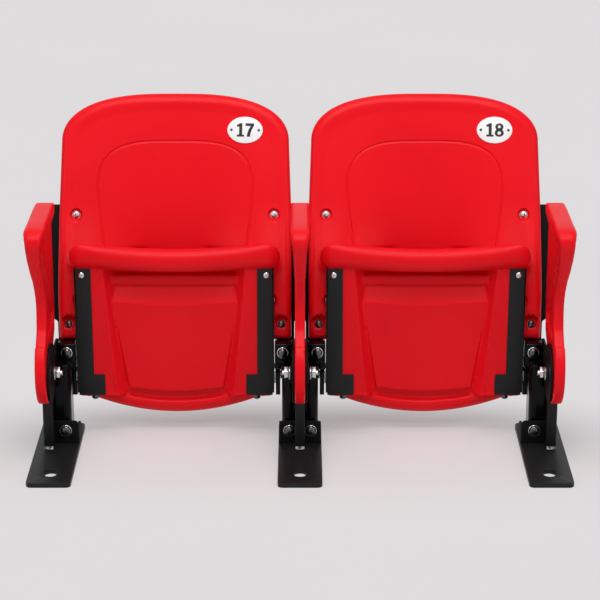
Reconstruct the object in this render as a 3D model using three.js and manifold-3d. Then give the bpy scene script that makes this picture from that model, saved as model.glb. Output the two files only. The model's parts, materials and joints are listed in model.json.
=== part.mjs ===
// A bank of two tip-up stadium seats on three shared arm standards, in millimetres.
// Someone facing the bank has +X on the right. The front faces -Y and +Z is up.
// The seats are folded up. Sizes along a standard are measured from its own mid plane.

import * as THREE from 'three';
import { mergeVertices } from 'three/addons/utils/BufferGeometryUtils.js';
import Module from 'manifold-3d';

const wasm = await Module();
wasm.setup();

// The bank
const pitch = 500;                  // one arm standard to the next
const clearance = 0.3;              // between pieces that touch
const overrun = 2;                  // a cutting shape runs this far past what it cuts

// Column, a flat-oval tube beside the mid plane
const columnInner = 6;
const columnWidth = 30;
const columnWall = 3;
const columnFront = 16;
const columnRear = 54;
const endColumnShift = 7;           // an end column stands this much further out

// Shoe round a column's foot, and the base plate with its anchor slot
const shoeFront = 22;
const shoeHeight = 43;
const shoeWall = 4.4;
const shoeSideGap = 2.6;            // from the column to the shoe's flank
const shoeDepth = 84;
const shoeWidth = columnInner + columnWidth + shoeSideGap + shoeWall;
const shoeCorner = 9;
const shoeArch = 4;                 // the front wall's lower edge rises this much
const endShoeShift = 10;            // an end shoe stands this much further from its arm
const earBump = 6;                  // rounded ear on the shoe's outer top corner
const plateWidth = shoeWidth * 2;
const plateThickness = 9;
const plateFront = 224;             // ahead of the datum line under the column
const plateRear = 68;
const plateCorner = 10;
const slotWidth = 25;
const slotLength = 40;
const slotInset = 40;               // front end of the plate to the middle of the slot
const endPlateInset = 17;           // the end plates stand this far inwards of their arm

// Post and the spine that it carries inside the arm
const postWidth = 19;
const postDepth = 25;
const postTop = 119;
const postCorner = 1.5;
const toeLength = 9;                // weld toe ahead of the post's foot
const toeHeight = 7;
const spineWidth = 6;
const spineFront = 84;
const spineFrontLow = 157;          // lower end of the spine's front edge
const spineTop = 232;

// Head casting on the column, and the bolt through it
const headBottom = 165;
const headTop = 209;
const headInner = 15.6;
const headOuter = 50.5;
const headFront = 18;               // behind the datum line
const headRear = 76;
const headCorner = 7;
const crownStep = 2;                // the top of the casting steps in this much
const capThickness = 7;
const spigotDepth = 24;
const earWidth = 9;
const earRadius = 18;
const headBoltPlace = 35.6;
const headBoltHeight = 188;
const headBoltRadius = 6;
const domeRadius = 11.5;
const domeHeight = 7;

// Side plate that clamps the arm's hub
const sidePlateThickness = 5;
const sidePlateRadius = 58;
const hubY = -68;
const hubZ = 177;
const bossRadius = 21;
const bossHeight = 5;

// Hub bolt
const hubBoltRadius = 7;
const washerRadius = 14;
const washerThickness = 3.4;
const nutAcrossCorners = 25;
const nutThickness = 10.5;
const studEnd = 40.5;
const studRadius = 5.4;
const hubHeadRadius = 13;
const hubHeadDepth = 5;

// Arm moulding
const armThickness = 20;
const armTop = 494;
const armNose = 161;                // ahead of the datum line
const armRear = 45;
const armHubRadius = 77;
const armHubY = -70;
const armHubZ = 195;
const armRecess = 4;
const padHalfWidth = 20;
const padDepth = 34;
const tongueShare = 0.645;           // width of the pad's rear tongue over the pad's width

// Seat pivot: flanged pin, return spring and stop lever
const pivotY = 70;
const pivotZ = 125;
const pinRadius = 6;
const discRadius = 21;
const discThickness = 2.4;
const pinNutThickness = 4;
const leverThickness = 7;
const leverWidth = 22;
const leverDrop = 46;
const springWire = 2.6;
const springRadius = 10.5;
const springCurls = 4;
const springLeg = 12;

// Back
const backGap = 34;                 // from one back to the next
const backHalfWidth = (pitch - backGap) / 2;
const backBottom = 210;
const backTop = 670;
const backThickness = 26;
const backCorner = 88;              // height of the rounded top corners
const wingY = 50;                   // front of the straight wings beside the folded seat
const wingTop = 300;
const wingWidth = 57;
const wingInner = backHalfWidth - wingWidth;
const wingStep = 10;
const backPanelLow = 112;           // front of the middle panel at the bottom edge
const backPanelHigh = 208;          // and at the top edge
const backRimHigh = 204;            // front of the rim at the top edge
const kneeY = 122;                  // front of the rim at the upper bolts
const lineWidth = 3.6;
const lineDepth = 1.8;

// Back bolts and straps
const strapThickness = 5;
const strapWidth = 21;
const strapOverBolt = 12;           // the strap's top end over the upper bolt
const strapSideGap = 1;             // from the standard's middle to the plate behind the arm
const strapNeckGap = 11.5;          // and to the plate's neck over the head
const strapFlare = 229;             // height at which the neck widens
const strapBend = 258;
const strapGap = 3.4;                // from the back's rear to the strap, filled by the bosses
const upperBoltInset = 35;
const upperBoltX = backHalfWidth - upperBoltInset;
const upperBoltZ = 442;
const lowerBoltInset = 19;
const lowerBoltX = backHalfWidth - lowerBoltInset;
const lowerBoltZ = 237;
const strapTop = upperBoltZ + strapOverBolt;
const backBoltRadius = 4;
const backDomeRadius = 8;
const backDomeHeight = 4.5;
const backNutThickness = 5;
const backRecessRadius = 12.5;
const backRecessDepth = 6;

// Seat pan, folded
const seatSideGap = 2;              // between the sitting shell and the wings
const seatHalfWidth = wingInner - seatSideGap;
const ledgeDepth = 7;               // ledges behind the brackets
const ledgeGap = 0.5;
const seatFront = 41.3;             // the underside's front plane
const seatFloor = 66;               // floor of the deep recess
const seatRear = 98;                // the sitting surface
const seatDish = 12;
const seatRim = 16;
const seatLow = 45;
const seatArcRise = 26;             // the rear edge curves up this much at its ends
const railBottom = 79;
const railTop = 352;
const railDraft = 3;                // the rail's crest ends this much above its foot
const panelFront = 56;
const panelLift = 11;               // lower edge of the main panel over the rails' ends
const panelArc = 8;                 // rise of that edge at its ends
const panelDraft = 6;
const ribDraft = 4;
const ribTop = 336;
const ribBottom = 315;

// Rolled front lip of the seat pan
const lipGap = 20;                  // from the lip's end to the arm pad
const lipHalfWidth = pitch / 2 - padHalfWidth - lipGap;
const lipTop = 402;
const lipBottom = 350;
const lipNose = 25;
const lipNoseEnd = 38;
const lipRear = 92;
const lipRearEnd = 66;

// Seat bracket
const bracketThickness = 3;
const bracketGap = 1.5;             // from the head casting to the bracket
const bracketHalfWidth = pitch / 2 - headOuter - bracketGap;
const ledgeHalfWidth = bracketHalfWidth - bracketThickness - ledgeGap;
const bracketFlange = 29;
const bracketTop = 349;
const bracketBottom = 78;
const bracketReturn = 10;
const tabWidth = 52;
const tabHeight = 45;
const rivetRadius = 6;
const rivetHeight = 2.4;
const footBoltRadius = 5.5;
const footBoltHeight = 5.4;

// Steps round a full turn for each kind of round piece
const fineSides = 16;
const plainSides = 8;
const roundSides = 12;
const hubSteps = 9;                 // along the long arcs of the hub and side plates
const leverSteps = 3;

const weldDistance = 1e-5;          // corners of one solid nearer than this are one corner

// Colours
const red = 0xd8121c;
const black = 0x0c0c0d;
const charcoal = 0x1e2020;
const zinc = 0xc9cbcc;
const spring = 0x7c8082;

function finish(color, roughness, metalness) {
  return new THREE.MeshStandardMaterial({ color, roughness, metalness });
}

const redPlastic = finish(red, 0.34, 0);
const glossBlack = finish(black, 0.16, 0);
const satinBlack = finish(charcoal, 0.5, 0);
const brightZinc = finish(zinc, 0.22, 1);
const springSteel = finish(spring, 0.35, 1);

// A closed geometry becomes a solid for cutting and joining, and back.

function solid(geometry) {
  const bare = geometry.clone();
  bare.deleteAttribute('normal');
  bare.deleteAttribute('uv');
  const merged = mergeVertices(bare, weldDistance);
  const vertProperties = new Float32Array(merged.attributes.position.array);
  const triVerts = new Uint32Array(merged.index.array);
  return new wasm.Manifold(new wasm.Mesh({ numProp: 3, vertProperties, triVerts }));
}

function geometryOf(manifold) {
  const mesh = manifold.getMesh();
  const geometry = new THREE.BufferGeometry();
  const places = new THREE.BufferAttribute(new Float32Array(mesh.vertProperties), 3);
  geometry.setAttribute('position', places);
  geometry.setIndex(new THREE.BufferAttribute(new Uint32Array(mesh.triVerts), 1));
  geometry.computeVertexNormals();
  return geometry;
}

const join = (first, ...others) => others.reduce((sum, next) => sum.add(next), first);
const cut = (first, ...others) => others.reduce((rest, next) => rest.subtract(next), first);

// Extrusions: an outline in the named plane, pushed along the axis named last.

const axesFor = {
  x: new THREE.Matrix4().makeBasis(
    new THREE.Vector3(0, 1, 0), new THREE.Vector3(0, 0, 1), new THREE.Vector3(1, 0, 0)),
  y: new THREE.Matrix4().makeBasis(
    new THREE.Vector3(1, 0, 0), new THREE.Vector3(0, 0, 1), new THREE.Vector3(0, -1, 0)),
  z: new THREE.Matrix4(),
};

function extrude(axis, shape, from, to, curveSegments = 2) {
  const depth = Math.abs(to - from);
  const geometry = new THREE.ExtrudeGeometry(shape, { depth, bevelEnabled: false, curveSegments });
  const start = axis === 'y' ? -Math.max(from, to) : Math.min(from, to);
  geometry.translate(0, 0, start);
  geometry.applyMatrix4(axesFor[axis]);
  return solid(geometry);
}

function outline(points) {
  return new THREE.Shape(points.map(([u, v]) => new THREE.Vector2(u, v)));
}

function roundedBox(u0, u1, v0, v1, radius) {
  const shape = new THREE.Shape();
  const r = Math.min(radius, (u1 - u0) / 2 - clearance, (v1 - v0) / 2 - clearance);
  shape.moveTo(u0 + r, v0);
  shape.lineTo(u1 - r, v0);
  shape.absarc(u1 - r, v0 + r, r, -Math.PI / 2, 0);
  shape.lineTo(u1, v1 - r);
  shape.absarc(u1 - r, v1 - r, r, 0, Math.PI / 2);
  shape.lineTo(u0 + r, v1);
  shape.absarc(u0 + r, v1 - r, r, Math.PI / 2, Math.PI);
  shape.lineTo(u0, v0 + r);
  shape.absarc(u0 + r, v0 + r, r, Math.PI, Math.PI * 3 / 2);
  return shape;
}

function rectangle(u0, u1, v0, v1) {
  return outline([[u0, v0], [u1, v0], [u1, v1], [u0, v1]]);
}

function disc(u, v, radius) {
  return new THREE.Shape().absarc(u, v, radius, 0, Math.PI * 2);
}

function rod(axis, u, v, radius, from, to, sides = plainSides) {
  return extrude(axis, disc(u, v, radius), from, to, sides / 2);
}

// A revolved piece: profile points are [radius, height] along the named axis.

function revolve(axis, place, profile, sides = plainSides) {
  const points = profile.map(([radius, height]) => new THREE.Vector2(radius, height));
  const geometry = new THREE.LatheGeometry(points, sides);
  const turn = { x: [0, 0, -Math.PI / 2], y: [0, 0, 0], z: [Math.PI / 2, 0, 0] }[axis];
  geometry.applyMatrix4(new THREE.Matrix4().makeRotationFromEuler(new THREE.Euler(...turn)));
  geometry.translate(...place);
  return outward(geometry);
}

// The solid of a closed geometry whose faces may have come out turned inwards.

function outward(geometry) {
  const made = solid(geometry);
  if (made.volume() > 0) return made;
  const turned = geometry.clone();
  const index = Array.from(geometry.index.array);
  for (let i = 0; i < index.length; i += 3) [index[i], index[i + 1]] = [index[i + 1], index[i]];
  turned.setIndex(index);
  return solid(turned);
}

// A loft through closed sections of equal count, with a fan over each end.

function loft(sections) {
  const count = sections[0].length;
  const places = sections.flat().flatMap((point) => [point.x, point.y, point.z]);
  const faces = [];
  for (let row = 0; row + 1 < sections.length; row += 1) {
    for (let i = 0; i < count; i += 1) {
      const j = (i + 1) % count;
      const [a, b, c, d] = [row * count + i, row * count + j, (row + 1) * count + j,
        (row + 1) * count + i];
      faces.push(a, b, c, a, c, d);
    }
  }
  const caps = [[sections[0], 0, true], [sections.at(-1), (sections.length - 1) * count, false]];
  for (const [section, start, first] of caps) {
    const middle = new THREE.Vector3();
    section.forEach((point) => middle.add(point));
    middle.divideScalar(count);
    const centre = places.length / 3;
    places.push(middle.x, middle.y, middle.z);
    for (let i = 0; i < count; i += 1) {
      const [a, b] = [start + i, start + (i + 1) % count];
      if (first) faces.push(centre, b, a);
      else faces.push(centre, a, b);
    }
  }
  const geometry = new THREE.BufferGeometry();
  geometry.setAttribute('position', new THREE.Float32BufferAttribute(places, 3));
  geometry.setIndex(faces);
  return outward(geometry);
}

// A loft that runs round and meets its own start.

function closedLoft(sections) {
  const count = sections[0].length;
  const places = sections.flat().flatMap((point) => [point.x, point.y, point.z]);
  const faces = [];
  sections.forEach((_, row) => {
    const next = (row + 1) % sections.length;
    for (let i = 0; i < count; i += 1) {
      const j = (i + 1) % count;
      faces.push(row * count + i, row * count + j, next * count + j);
      faces.push(row * count + i, next * count + j, next * count + i);
    }
  });
  const geometry = new THREE.BufferGeometry();
  geometry.setAttribute('position', new THREE.Float32BufferAttribute(places, 3));
  geometry.setIndex(faces);
  return outward(geometry);
}

const group = new THREE.Group();

function place(name, manifold, material) {
  const mesh = new THREE.Mesh(geometryOf(manifold), material);
  mesh.name = name;
  group.add(mesh);
}

// A dome head on a bolt along Y, its crown to the front.

function domeBoltY(x, z, faceY, radius, height, shankRadius, shankEnd) {
  const dome = revolve('y', [x, faceY, z], [
    [0, -height], [radius * 0.64, -height * 0.8], [radius, -height * 0.1], [radius, 0], [0, 0],
  ]);
  return join(dome, rod('y', x, z, shankRadius, faceY - height * 0.3, shankEnd));
}

// Base plate with its slot.

function basePlate(middle) {
  const half = plateWidth / 2;
  const outer = roundedBox(middle - half, middle + half, -plateFront, plateRear, plateCorner);
  const slotMiddle = -plateFront + slotInset;
  const slotHalf = slotWidth / 2;
  const slot = roundedBox(middle - slotHalf, middle + slotHalf, slotMiddle - slotLength / 2,
    slotMiddle + slotLength / 2, slotHalf);
  return cut(extrude('z', outer, 0, plateThickness),
    extrude('z', slot, -overrun, plateThickness + overrun));
}

// Shoe welded on the plate round a column's foot: arched front wall, outer flank with its ear,
// and the dome bolt through the wall.

function shoe(near, side, shift) {
  const at = (a) => near + side * (shift + a);
  const top = plateThickness + shoeHeight;
  const rear = shoeDepth - shoeFront;
  const foot = plateThickness - clearance;
  const front = extrude('y', outline([
    [at(shift > 0 ? -shoeWall : 0), foot], [at(shoeWall), foot],
    [at(shoeWidth * 0.3), plateThickness + shoeArch],
    [at(shoeWidth * 0.7), plateThickness + shoeArch],
    [at(shoeWidth - shoeWall), foot], [at(shoeWidth), foot], [at(shoeWidth), top - shoeCorner],
    [at(shoeWidth - shoeCorner * 0.3), top - shoeCorner * 0.3],
    [at(shoeWidth - shoeCorner), top],
    [at(shift > 0 ? -shoeWall : 0), top],
  ]), -shoeFront, -shoeFront + shoeWall);
  const flank = extrude('x', outline([
    [-shoeFront, foot], [rear, foot], [rear, plateThickness + shoeHeight * 0.35],
    [rear - shoeDepth * 0.3, top - shoeCorner], [-shoeFront, top - shoeCorner],
  ]), at(shoeWidth - shoeWall), at(shoeWidth));
  const ear = rod('y', at(shoeWidth - shoeCorner * 0.5), top - shoeCorner * 0.4, earBump * 0.7,
    -shoeFront, -shoeFront + shoeWall * 2);
  const dome = domeBoltY(at(shoeWidth / 2), plateThickness + shoeHeight * 0.62,
    -shoeFront + clearance, domeRadius, domeHeight, headBoltRadius, -shoeFront + shoeWall / 2);
  return join(front, flank, ear, dome);
}

// Post with the spine that stands inside the arm.

function post(middle) {
  const rear = -shoeFront - clearance;
  const front = rear - postDepth;
  const half = postWidth / 2;
  const foot = plateThickness + clearance;
  const bar = extrude('z', roundedBox(middle - half, middle + half, front, rear, postCorner), foot,
    postTop);
  const toe = extrude('x', outline([
    [front - toeLength, foot], [front + overrun, foot], [front + overrun, foot + toeHeight],
    [front - clearance, foot + toeHeight],
  ]), middle - half, middle + half);
  const spine = extrude('x', outline([
    [rear, postTop - overrun], [rear, spineTop], [-spineFront, spineTop],
    [-spineFront, spineFrontLow], [front, postTop - overrun],
  ]), middle - spineWidth / 2, middle + spineWidth / 2);
  const bore = rod('x', hubY, hubZ, hubBoltRadius + clearance, middle - spineWidth,
    middle + spineWidth);
  return cut(join(bar, toe, spine), bore);
}

// Flat-oval column.

function column(near, side, shift) {
  const inner = near + side * (columnInner + shift);
  const outer = inner + side * columnWidth;
  const [x0, x1] = [Math.min(inner, outer), Math.max(inner, outer)];
  const front = -columnFront;
  const bottom = plateThickness + clearance;
  const top = headBottom - clearance;
  const tube = extrude('z', roundedBox(x0, x1, front, columnRear, columnWidth), bottom, top);
  const hollow = extrude('z', roundedBox(x0 + columnWall, x1 - columnWall, front + columnWall,
    columnRear - columnWall, columnWidth), bottom - overrun, top + overrun);
  return cut(tube, hollow);
}

// Head casting: block, cap, spigot into the column, and the pivot ear behind it.

function head(near, side, shift) {
  const across = (a, b) => [Math.min(near + side * a, near + side * b),
    Math.max(near + side * a, near + side * b)];
  const [x0, x1] = across(headInner, headOuter);
  const block = extrude('z', roundedBox(x0, x1, headFront, headRear, headCorner),
    headBottom, headTop - crownStep);
  const crown = extrude('z', roundedBox(x0 + crownStep, x1 - crownStep, headFront + crownStep,
    headRear - crownStep, headCorner), headTop - crownStep - clearance, headTop);
  const columnOuter = columnInner + columnWidth + shift;
  const [c0, c1] = across(headInner, columnOuter);
  const cap = extrude('z', roundedBox(c0, c1, -columnFront, headRear, columnWidth / 2),
    headBottom, headBottom + capThickness);
  const spigotInner = Math.max(headInner, columnInner + shift + columnWall + clearance);
  const [s0, s1] = across(spigotInner, columnOuter - columnWall - clearance);
  const spigot = extrude('z', rectangle(s0, s1, headFront * 0.2, columnRear * 0.6),
    headBottom - spigotDepth, headBottom + overrun);
  const [e0, e1] = across(headInner, headInner + earWidth);
  const ear = extrude('x', outline([
    [columnRear + clearance * 6, headBottom + overrun],
    [columnRear + clearance * 6, pivotZ - earRadius * 0.5],
    [pivotY - earRadius * 0.45, pivotZ - earRadius], [pivotY + earRadius * 0.45, pivotZ - earRadius],
    [pivotY + earRadius, pivotZ - earRadius * 0.4], [pivotY + earRadius, pivotZ + earRadius * 0.5],
    [headRear, headBottom + overrun],
  ]), e0, e1);
  const bore = rod('x', pivotY, pivotZ, pinRadius + clearance, e0 - overrun, e1 + overrun,
    roundSides);
  const boltBore = rod('y', near + side * headBoltPlace, headBoltHeight,
    headBoltRadius + clearance, headFront - overrun, headRear + overrun);
  return cut(join(block, crown, cap, spigot, ear), bore, boltBore);
}

function headBolt(near, side) {
  const x = near + side * headBoltPlace;
  const strapRear = headRear + clearance * 2 + strapThickness;
  const bolt = domeBoltY(x, headBoltHeight, headFront - clearance, domeRadius, domeHeight,
    headBoltRadius, strapRear + clearance + nutThickness);
  const nut = extrude('y', hexagon(x, headBoltHeight, nutAcrossCorners * 0.44),
    strapRear + clearance, strapRear + clearance + nutThickness * 0.8);
  return join(bolt, nut);
}

function hexagon(u, v, radius) {
  const corners = Array.from({ length: 6 }, (_, i) => i * Math.PI / 3 + Math.PI / 6);
  return outline(corners.map((angle) => [u + radius * Math.cos(angle),
    v + radius * Math.sin(angle)]));
}

// Side plate: a disc round the hub, with a neck back to the head.

function sidePlate(near, side) {
  const inner = near + side * (armThickness / 2 + clearance);
  const outer = inner + side * sidePlateThickness;
  const columnGap = -columnFront - clearance * 3;
  const turn = Math.asin((headTop - hubZ) / sidePlateRadius);
  const sink = Math.acos((columnGap - hubY) / sidePlateRadius);
  const shape = new THREE.Shape();
  shape.absarc(hubY, hubZ, sidePlateRadius, turn, Math.PI * 2 - sink);
  shape.lineTo(columnGap, headBottom + clearance);
  shape.lineTo(headRear, headBottom + clearance);
  shape.lineTo(headRear, headTop);
  shape.closePath();
  const plate = extrude('x', shape, inner, outer, hubSteps);
  const boss = rod('x', hubY, hubZ, bossRadius, outer - side * clearance,
    outer + side * bossHeight, fineSides);
  const rivet = rod('x', hubY + sidePlateRadius * 0.72, headTop - rivetRadius * 1.6,
    rivetRadius, outer - side * clearance, outer + side * rivetHeight);
  const bore = rod('x', hubY, hubZ, hubBoltRadius + clearance, inner - side * overrun,
    outer + side * (bossHeight + overrun));
  return cut(join(plate, boss, rivet), bore);
}

// Hub bolt: shank, washers and nuts on the seat sides, a sunk head on an outer face.

function hubBolt(near, sides) {
  const bossFace = armThickness / 2 + clearance + sidePlateThickness + bossHeight + clearance;
  const parts = [];
  for (const side of [-1, 1]) {
    if (sides.includes(side)) {
      const at = (a) => near + side * a;
      const nutFace = bossFace + washerThickness;
      parts.push(rod('x', hubY, hubZ, hubBoltRadius, near, at(nutFace + nutThickness / 2)));
      parts.push(rod('x', hubY, hubZ, studRadius, near, at(studEnd)));
      parts.push(rod('x', hubY, hubZ, washerRadius, at(bossFace), at(nutFace), fineSides));
      parts.push(extrude('x', hexagon(hubY, hubZ, nutAcrossCorners / 2),
        at(nutFace - clearance), at(nutFace + nutThickness)));
    } else {
      const face = near + side * armThickness / 2;
      parts.push(rod('x', hubY, hubZ, hubBoltRadius, near, face - side * hubHeadDepth / 2));
      parts.push(rod('x', hubY, hubZ, hubHeadRadius, face - side * hubHeadDepth, face,
        fineSides));
    }
  }
  return join(...parts);
}

// Arm moulding: flat panel with a round hub, recessed faces, and a pad swept round the nose.
// Shares are of the arm's reach ahead of the datum line and of its height over the hub's centre.

const armSpan = armTop - armHubZ;
const armAt = ([reachShare, heightShare]) => [-armNose * reachShare, armHubZ + armSpan * heightShare];
const armFrontShares = [
  [0.65, 0.21], [0.60, 0.26], [0.535, 0.385], [0.535, 0.455], [0.62, 0.54],
  [0.80, 0.69], [0.93, 0.82],
];
const armRecessFrontShares = [
  [0.50, 0.20], [0.44, 0.28], [0.385, 0.39], [0.39, 0.46], [0.47, 0.56], [0.63, 0.69],
  [0.72, 0.80], [0.72, 0.86],
];

function armPanel(near) {
  const half = armThickness / 2;
  const start = Math.asin((armAt(armFrontShares[0])[1] - armHubZ) / armHubRadius);
  const rearCut = -columnFront - clearance * 3;
  const stop = Math.acos((rearCut - armHubY) / armHubRadius);
  const padLow = armTop - padDepth * 0.55;
  const shape = new THREE.Shape();
  shape.absarc(armHubY, armHubZ, armHubRadius, Math.PI - start, Math.PI * 2 - stop);
  const rest = [
    [rearCut, hubZ], [armRear * 0.2, headTop - armSpan * 0.02],
    [armRear * 0.82, headTop + armSpan * 0.07], [armRear, headTop + armSpan * 0.3],
    [armRear, padLow],
    [-armNose * 0.9, padLow], ...armFrontShares.slice(1).reverse().map(armAt),
  ];
  rest.forEach(([y, z]) => shape.lineTo(y, z));
  shape.closePath();
  const panel = extrude('x', shape, near - half, near + half, hubSteps);
  const rear = armRear - armRecess * 3;
  const recess = outline([
    [rear, headTop + armSpan * 0.12], [rear, padLow - padDepth * 0.45],
    ...armRecessFrontShares.map(armAt).reverse(),
  ]);
  const recesses = [-1, 1].map((side) => extrude('x', recess,
    near + side * (half - armRecess), near + side * (half + overrun)));
  return cut(panel, ...recesses);
}

// Stations of the pad: [reach share, height share, tilt in degrees, width share, depth share].

const padStationShares = [
  [-0.27, 0.967, 0, tongueShare * 0.94, 0.46],
  [-0.02, 0.983, 0, tongueShare, 0.6],
  [0.0, 0.985, 0, 0.92, 0.7],
  [0.06, 0.988, 0, 1, 0.74],
  [0.35, 0.997, 0, 1, 0.86],
  [0.66, 1.0, 3, 1, 0.93],
  [0.86, 0.992, 24, 1, 0.96],
  [0.965, 0.965, 53, 0.88, 1.15],
  [1.0, 0.925, 70, 0.78, 1.17],
  [0.985, 0.87, 92, 0.71, 1.045],
  [0.925, 0.80, 108, 0.64, 0.88],
  [0.84, 0.725, 118, 0.59, 0.74],
  [0.74, 0.635, 122, 0.54, 0.6],
];

function pad(near) {
  const sections = padStationShares.map(([reach, height, tilt, wide, deep]) => {
    const [y, z] = armAt([reach, height]);
    const angle = THREE.MathUtils.degToRad(tilt);
    const away = new THREE.Vector3(0, -Math.sin(angle), Math.cos(angle));
    const half = padHalfWidth * wide;
    const depth = padDepth * deep;
    const round = Math.min(half, depth / 2) * 0.42;
    const ring = [];
    const corners = [
      [half, -round], [half - round, 0], [round - half, 0], [-half, -round],
      [-half, round - depth], [round - half, -depth], [half - round, -depth],
      [half, round - depth],
    ];
    corners.forEach(([x, out], i) => {
      ring.push([x, out]);
      const next = corners[(i + 1) % corners.length];
      const [run, drop] = [Math.abs(next[0] - x), Math.abs(next[1] - out)];
      if (run > 0 && drop > 0) {
        const cornerX = Math.sign(x) * half;
        const cornerOut = out > -depth / 2 ? 0 : -depth;
        ring.push([(x + next[0] + cornerX) / 3, (out + next[1] + cornerOut) / 3]);
      }
    });
    return ring.map(([x, out]) => new THREE.Vector3(near + x, y, z).addScaledVector(away, out));
  });
  return loft(sections);
}

function arm(near, sides) {
  const half = armThickness / 2;
  const body = join(armPanel(near), pad(near));
  const rear = -shoeFront;
  const slot = extrude('x', outline([
    [rear + clearance, armHubZ - armHubRadius - overrun], [rear + clearance, spineTop + clearance],
    [-spineFront - clearance, spineTop + clearance],
    [-spineFront - clearance, spineFrontLow - clearance],
    [rear - postDepth - clearance * 3, armHubZ - armHubRadius - overrun],
  ]), near - spineWidth / 2 - clearance, near + spineWidth / 2 + clearance);
  const postRoom = extrude('x', rectangle(rear - postDepth - clearance * 3, rear + clearance * 3,
    armHubZ - armHubRadius - overrun, postTop + clearance), near - half, near + half);
  const bore = rod('x', hubY, hubZ, hubBoltRadius + clearance, near - half - overrun,
    near + half + overrun);
  const sinks = [-1, 1].filter((side) => !sides.includes(side)).map((side) => rod('x', hubY,
    hubZ, hubHeadRadius + clearance, near + side * (half - hubHeadDepth - clearance),
    near + side * (half + overrun), fineSides));
  return cut(body, slot, postRoom, bore, ...sinks);
}

// Pivot pin with its disc. It turns in the head's ear and carries the bracket outside the disc.

const bracketOuter = pitch / 2 - bracketHalfWidth;
const discFace = bracketOuter - clearance;
const leverFace = discFace - discThickness - clearance;

function pivotPin(near, side) {
  const at = (a) => near + side * a;
  const nutFace = bracketOuter + bracketThickness + clearance;
  const tip = at(nutFace + pinNutThickness);
  return join(rod('x', pivotY, pivotZ, pinRadius, at(headInner - overrun), tip, roundSides),
    rod('x', pivotY, pivotZ, discRadius, at(discFace - discThickness), at(discFace), fineSides),
    extrude('x', hexagon(pivotY, pivotZ, pinRadius * 1.7), at(nutFace), tip));
}

function stopLever(near, side) {
  const [x0, x1] = [near + side * (leverFace - leverThickness), near + side * leverFace];
  const half = leverWidth / 2;
  const foot = pivotZ - leverDrop;
  const shape = new THREE.Shape();
  shape.absarc(pivotY, pivotZ, half * 1.25, 0, Math.PI);
  shape.lineTo(pivotY - half, foot + half);
  shape.absarc(pivotY - half * 0.45, foot + half * 0.55, half * 0.55, Math.PI, Math.PI * 2);
  shape.closePath();
  const bore = rod('x', pivotY, pivotZ, pinRadius + clearance, x0 - side * overrun,
    x1 + side * overrun, roundSides);
  return cut(extrude('x', shape, x0, x1, leverSteps), bore);
}

// Return spring: one tube of springCurls curls round the pin, with straight legs.

const springSteps = 8;
const springSides = 5;

function springPath(near, side) {
  const earFace = headInner + earWidth + clearance + springWire / 2;
  const farFace = leverFace - leverThickness - clearance - springWire / 2;
  const points = [];
  const steps = springCurls * springSteps;
  for (let i = 0; i <= steps; i += 1) {
    const share = i / steps;
    const angle = -Math.PI / 2 + share * springCurls * Math.PI * 2;
    points.push(new THREE.Vector3(near + side * (earFace + (farFace - earFace) * share),
      pivotY + springRadius * Math.cos(angle), pivotZ + springRadius * Math.sin(angle)));
  }
  const along = new THREE.Vector3(0, 1, 0);
  const first = points[0].clone().addScaledVector(along, -springLeg);
  const last = points.at(-1).clone().addScaledVector(along, springLeg);
  return [first, ...points, last];
}

function springTube(path) {
  const sideways = new THREE.Vector3(1, 0, 0);
  const sections = path.map((point, i) => {
    const before = path[Math.max(i - 1, 0)];
    const after = path[Math.min(i + 1, path.length - 1)];
    const tangent = after.clone().sub(before).normalize();
    const up = new THREE.Vector3().crossVectors(tangent, sideways).normalize();
    const out = new THREE.Vector3().crossVectors(up, tangent).normalize();
    return Array.from({ length: springSides }, (_, k) => {
      const angle = k * Math.PI * 2 / springSides;
      return point.clone().addScaledVector(up, springWire / 2 * Math.cos(angle))
        .addScaledVector(out, springWire / 2 * Math.sin(angle));
    });
  });
  return loft(sections);
}

function leastGap(path) {
  let least = Infinity;
  for (let i = 0; i < path.length; i += 1) {
    for (let j = i + springSteps - 2; j < path.length; j += 1) {
      least = Math.min(least, path[i].distanceTo(path[j]) - springWire);
    }
  }
  return least;
}

// Back: level sections from the bottom edge up, each a closed loop round the front and rear.
// Depth follows two curves, one for the middle panel and one for the wings and rim.

const backHeight = backTop - backBottom;
const cornerBottom = backTop - backCorner;
const cornerRise = 2.1;
const cornerSweep = 3;

const mix = (a, b, share) => a + (b - a) * Math.min(Math.max(share, 0), 1);
const smooth = (t) => { const c = Math.min(Math.max(t, 0), 1); return c * c * (3 - 2 * c); };

function backHalf(z) {
  const middle = backBottom + backHeight / 2;
  const straight = mix(backHalfWidth, backHalfWidth * 0.978, (z - middle) / (cornerBottom - middle));
  const t = Math.max((z - cornerBottom) / backCorner, 0);
  return straight * (1 - t ** cornerRise) ** (1 / cornerSweep);
}

function backTopAt(x) {
  const share = Math.min(Math.abs(x) / (backHalfWidth * 0.978), 1);
  return cornerBottom + backCorner * (1 - share ** cornerSweep) ** (1 / cornerRise);
}

function wingDepth(z) {
  if (z < wingTop) return wingY;
  if (z < upperBoltZ) return mix(wingY, kneeY, (z - wingTop) / (upperBoltZ - wingTop));
  return mix(kneeY, backRimHigh, (z - upperBoltZ) / (backTop - upperBoltZ));
}

function panelDepth(z) {
  const share = (z - backBottom) / backHeight;
  return mix(backPanelLow, backPanelHigh, 0.35 * share + 0.65 * share * share);
}

function backDepth(x, z, shift) {
  const rise = smooth((z - lipBottom) / (upperBoltZ - lipBottom));
  const moved = shift * (1 - rise);
  const from = mix(wingInner, wingInner * 0.25, rise) + moved;
  const to = wingInner + wingStep + moved;
  const share = smooth((Math.abs(x) - from) / (to - from));
  return mix(Math.max(panelDepth(z), wingDepth(z)), wingDepth(z), share);
}

// How far the rounded edge has fallen back from the face at a place on the panel.

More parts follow.
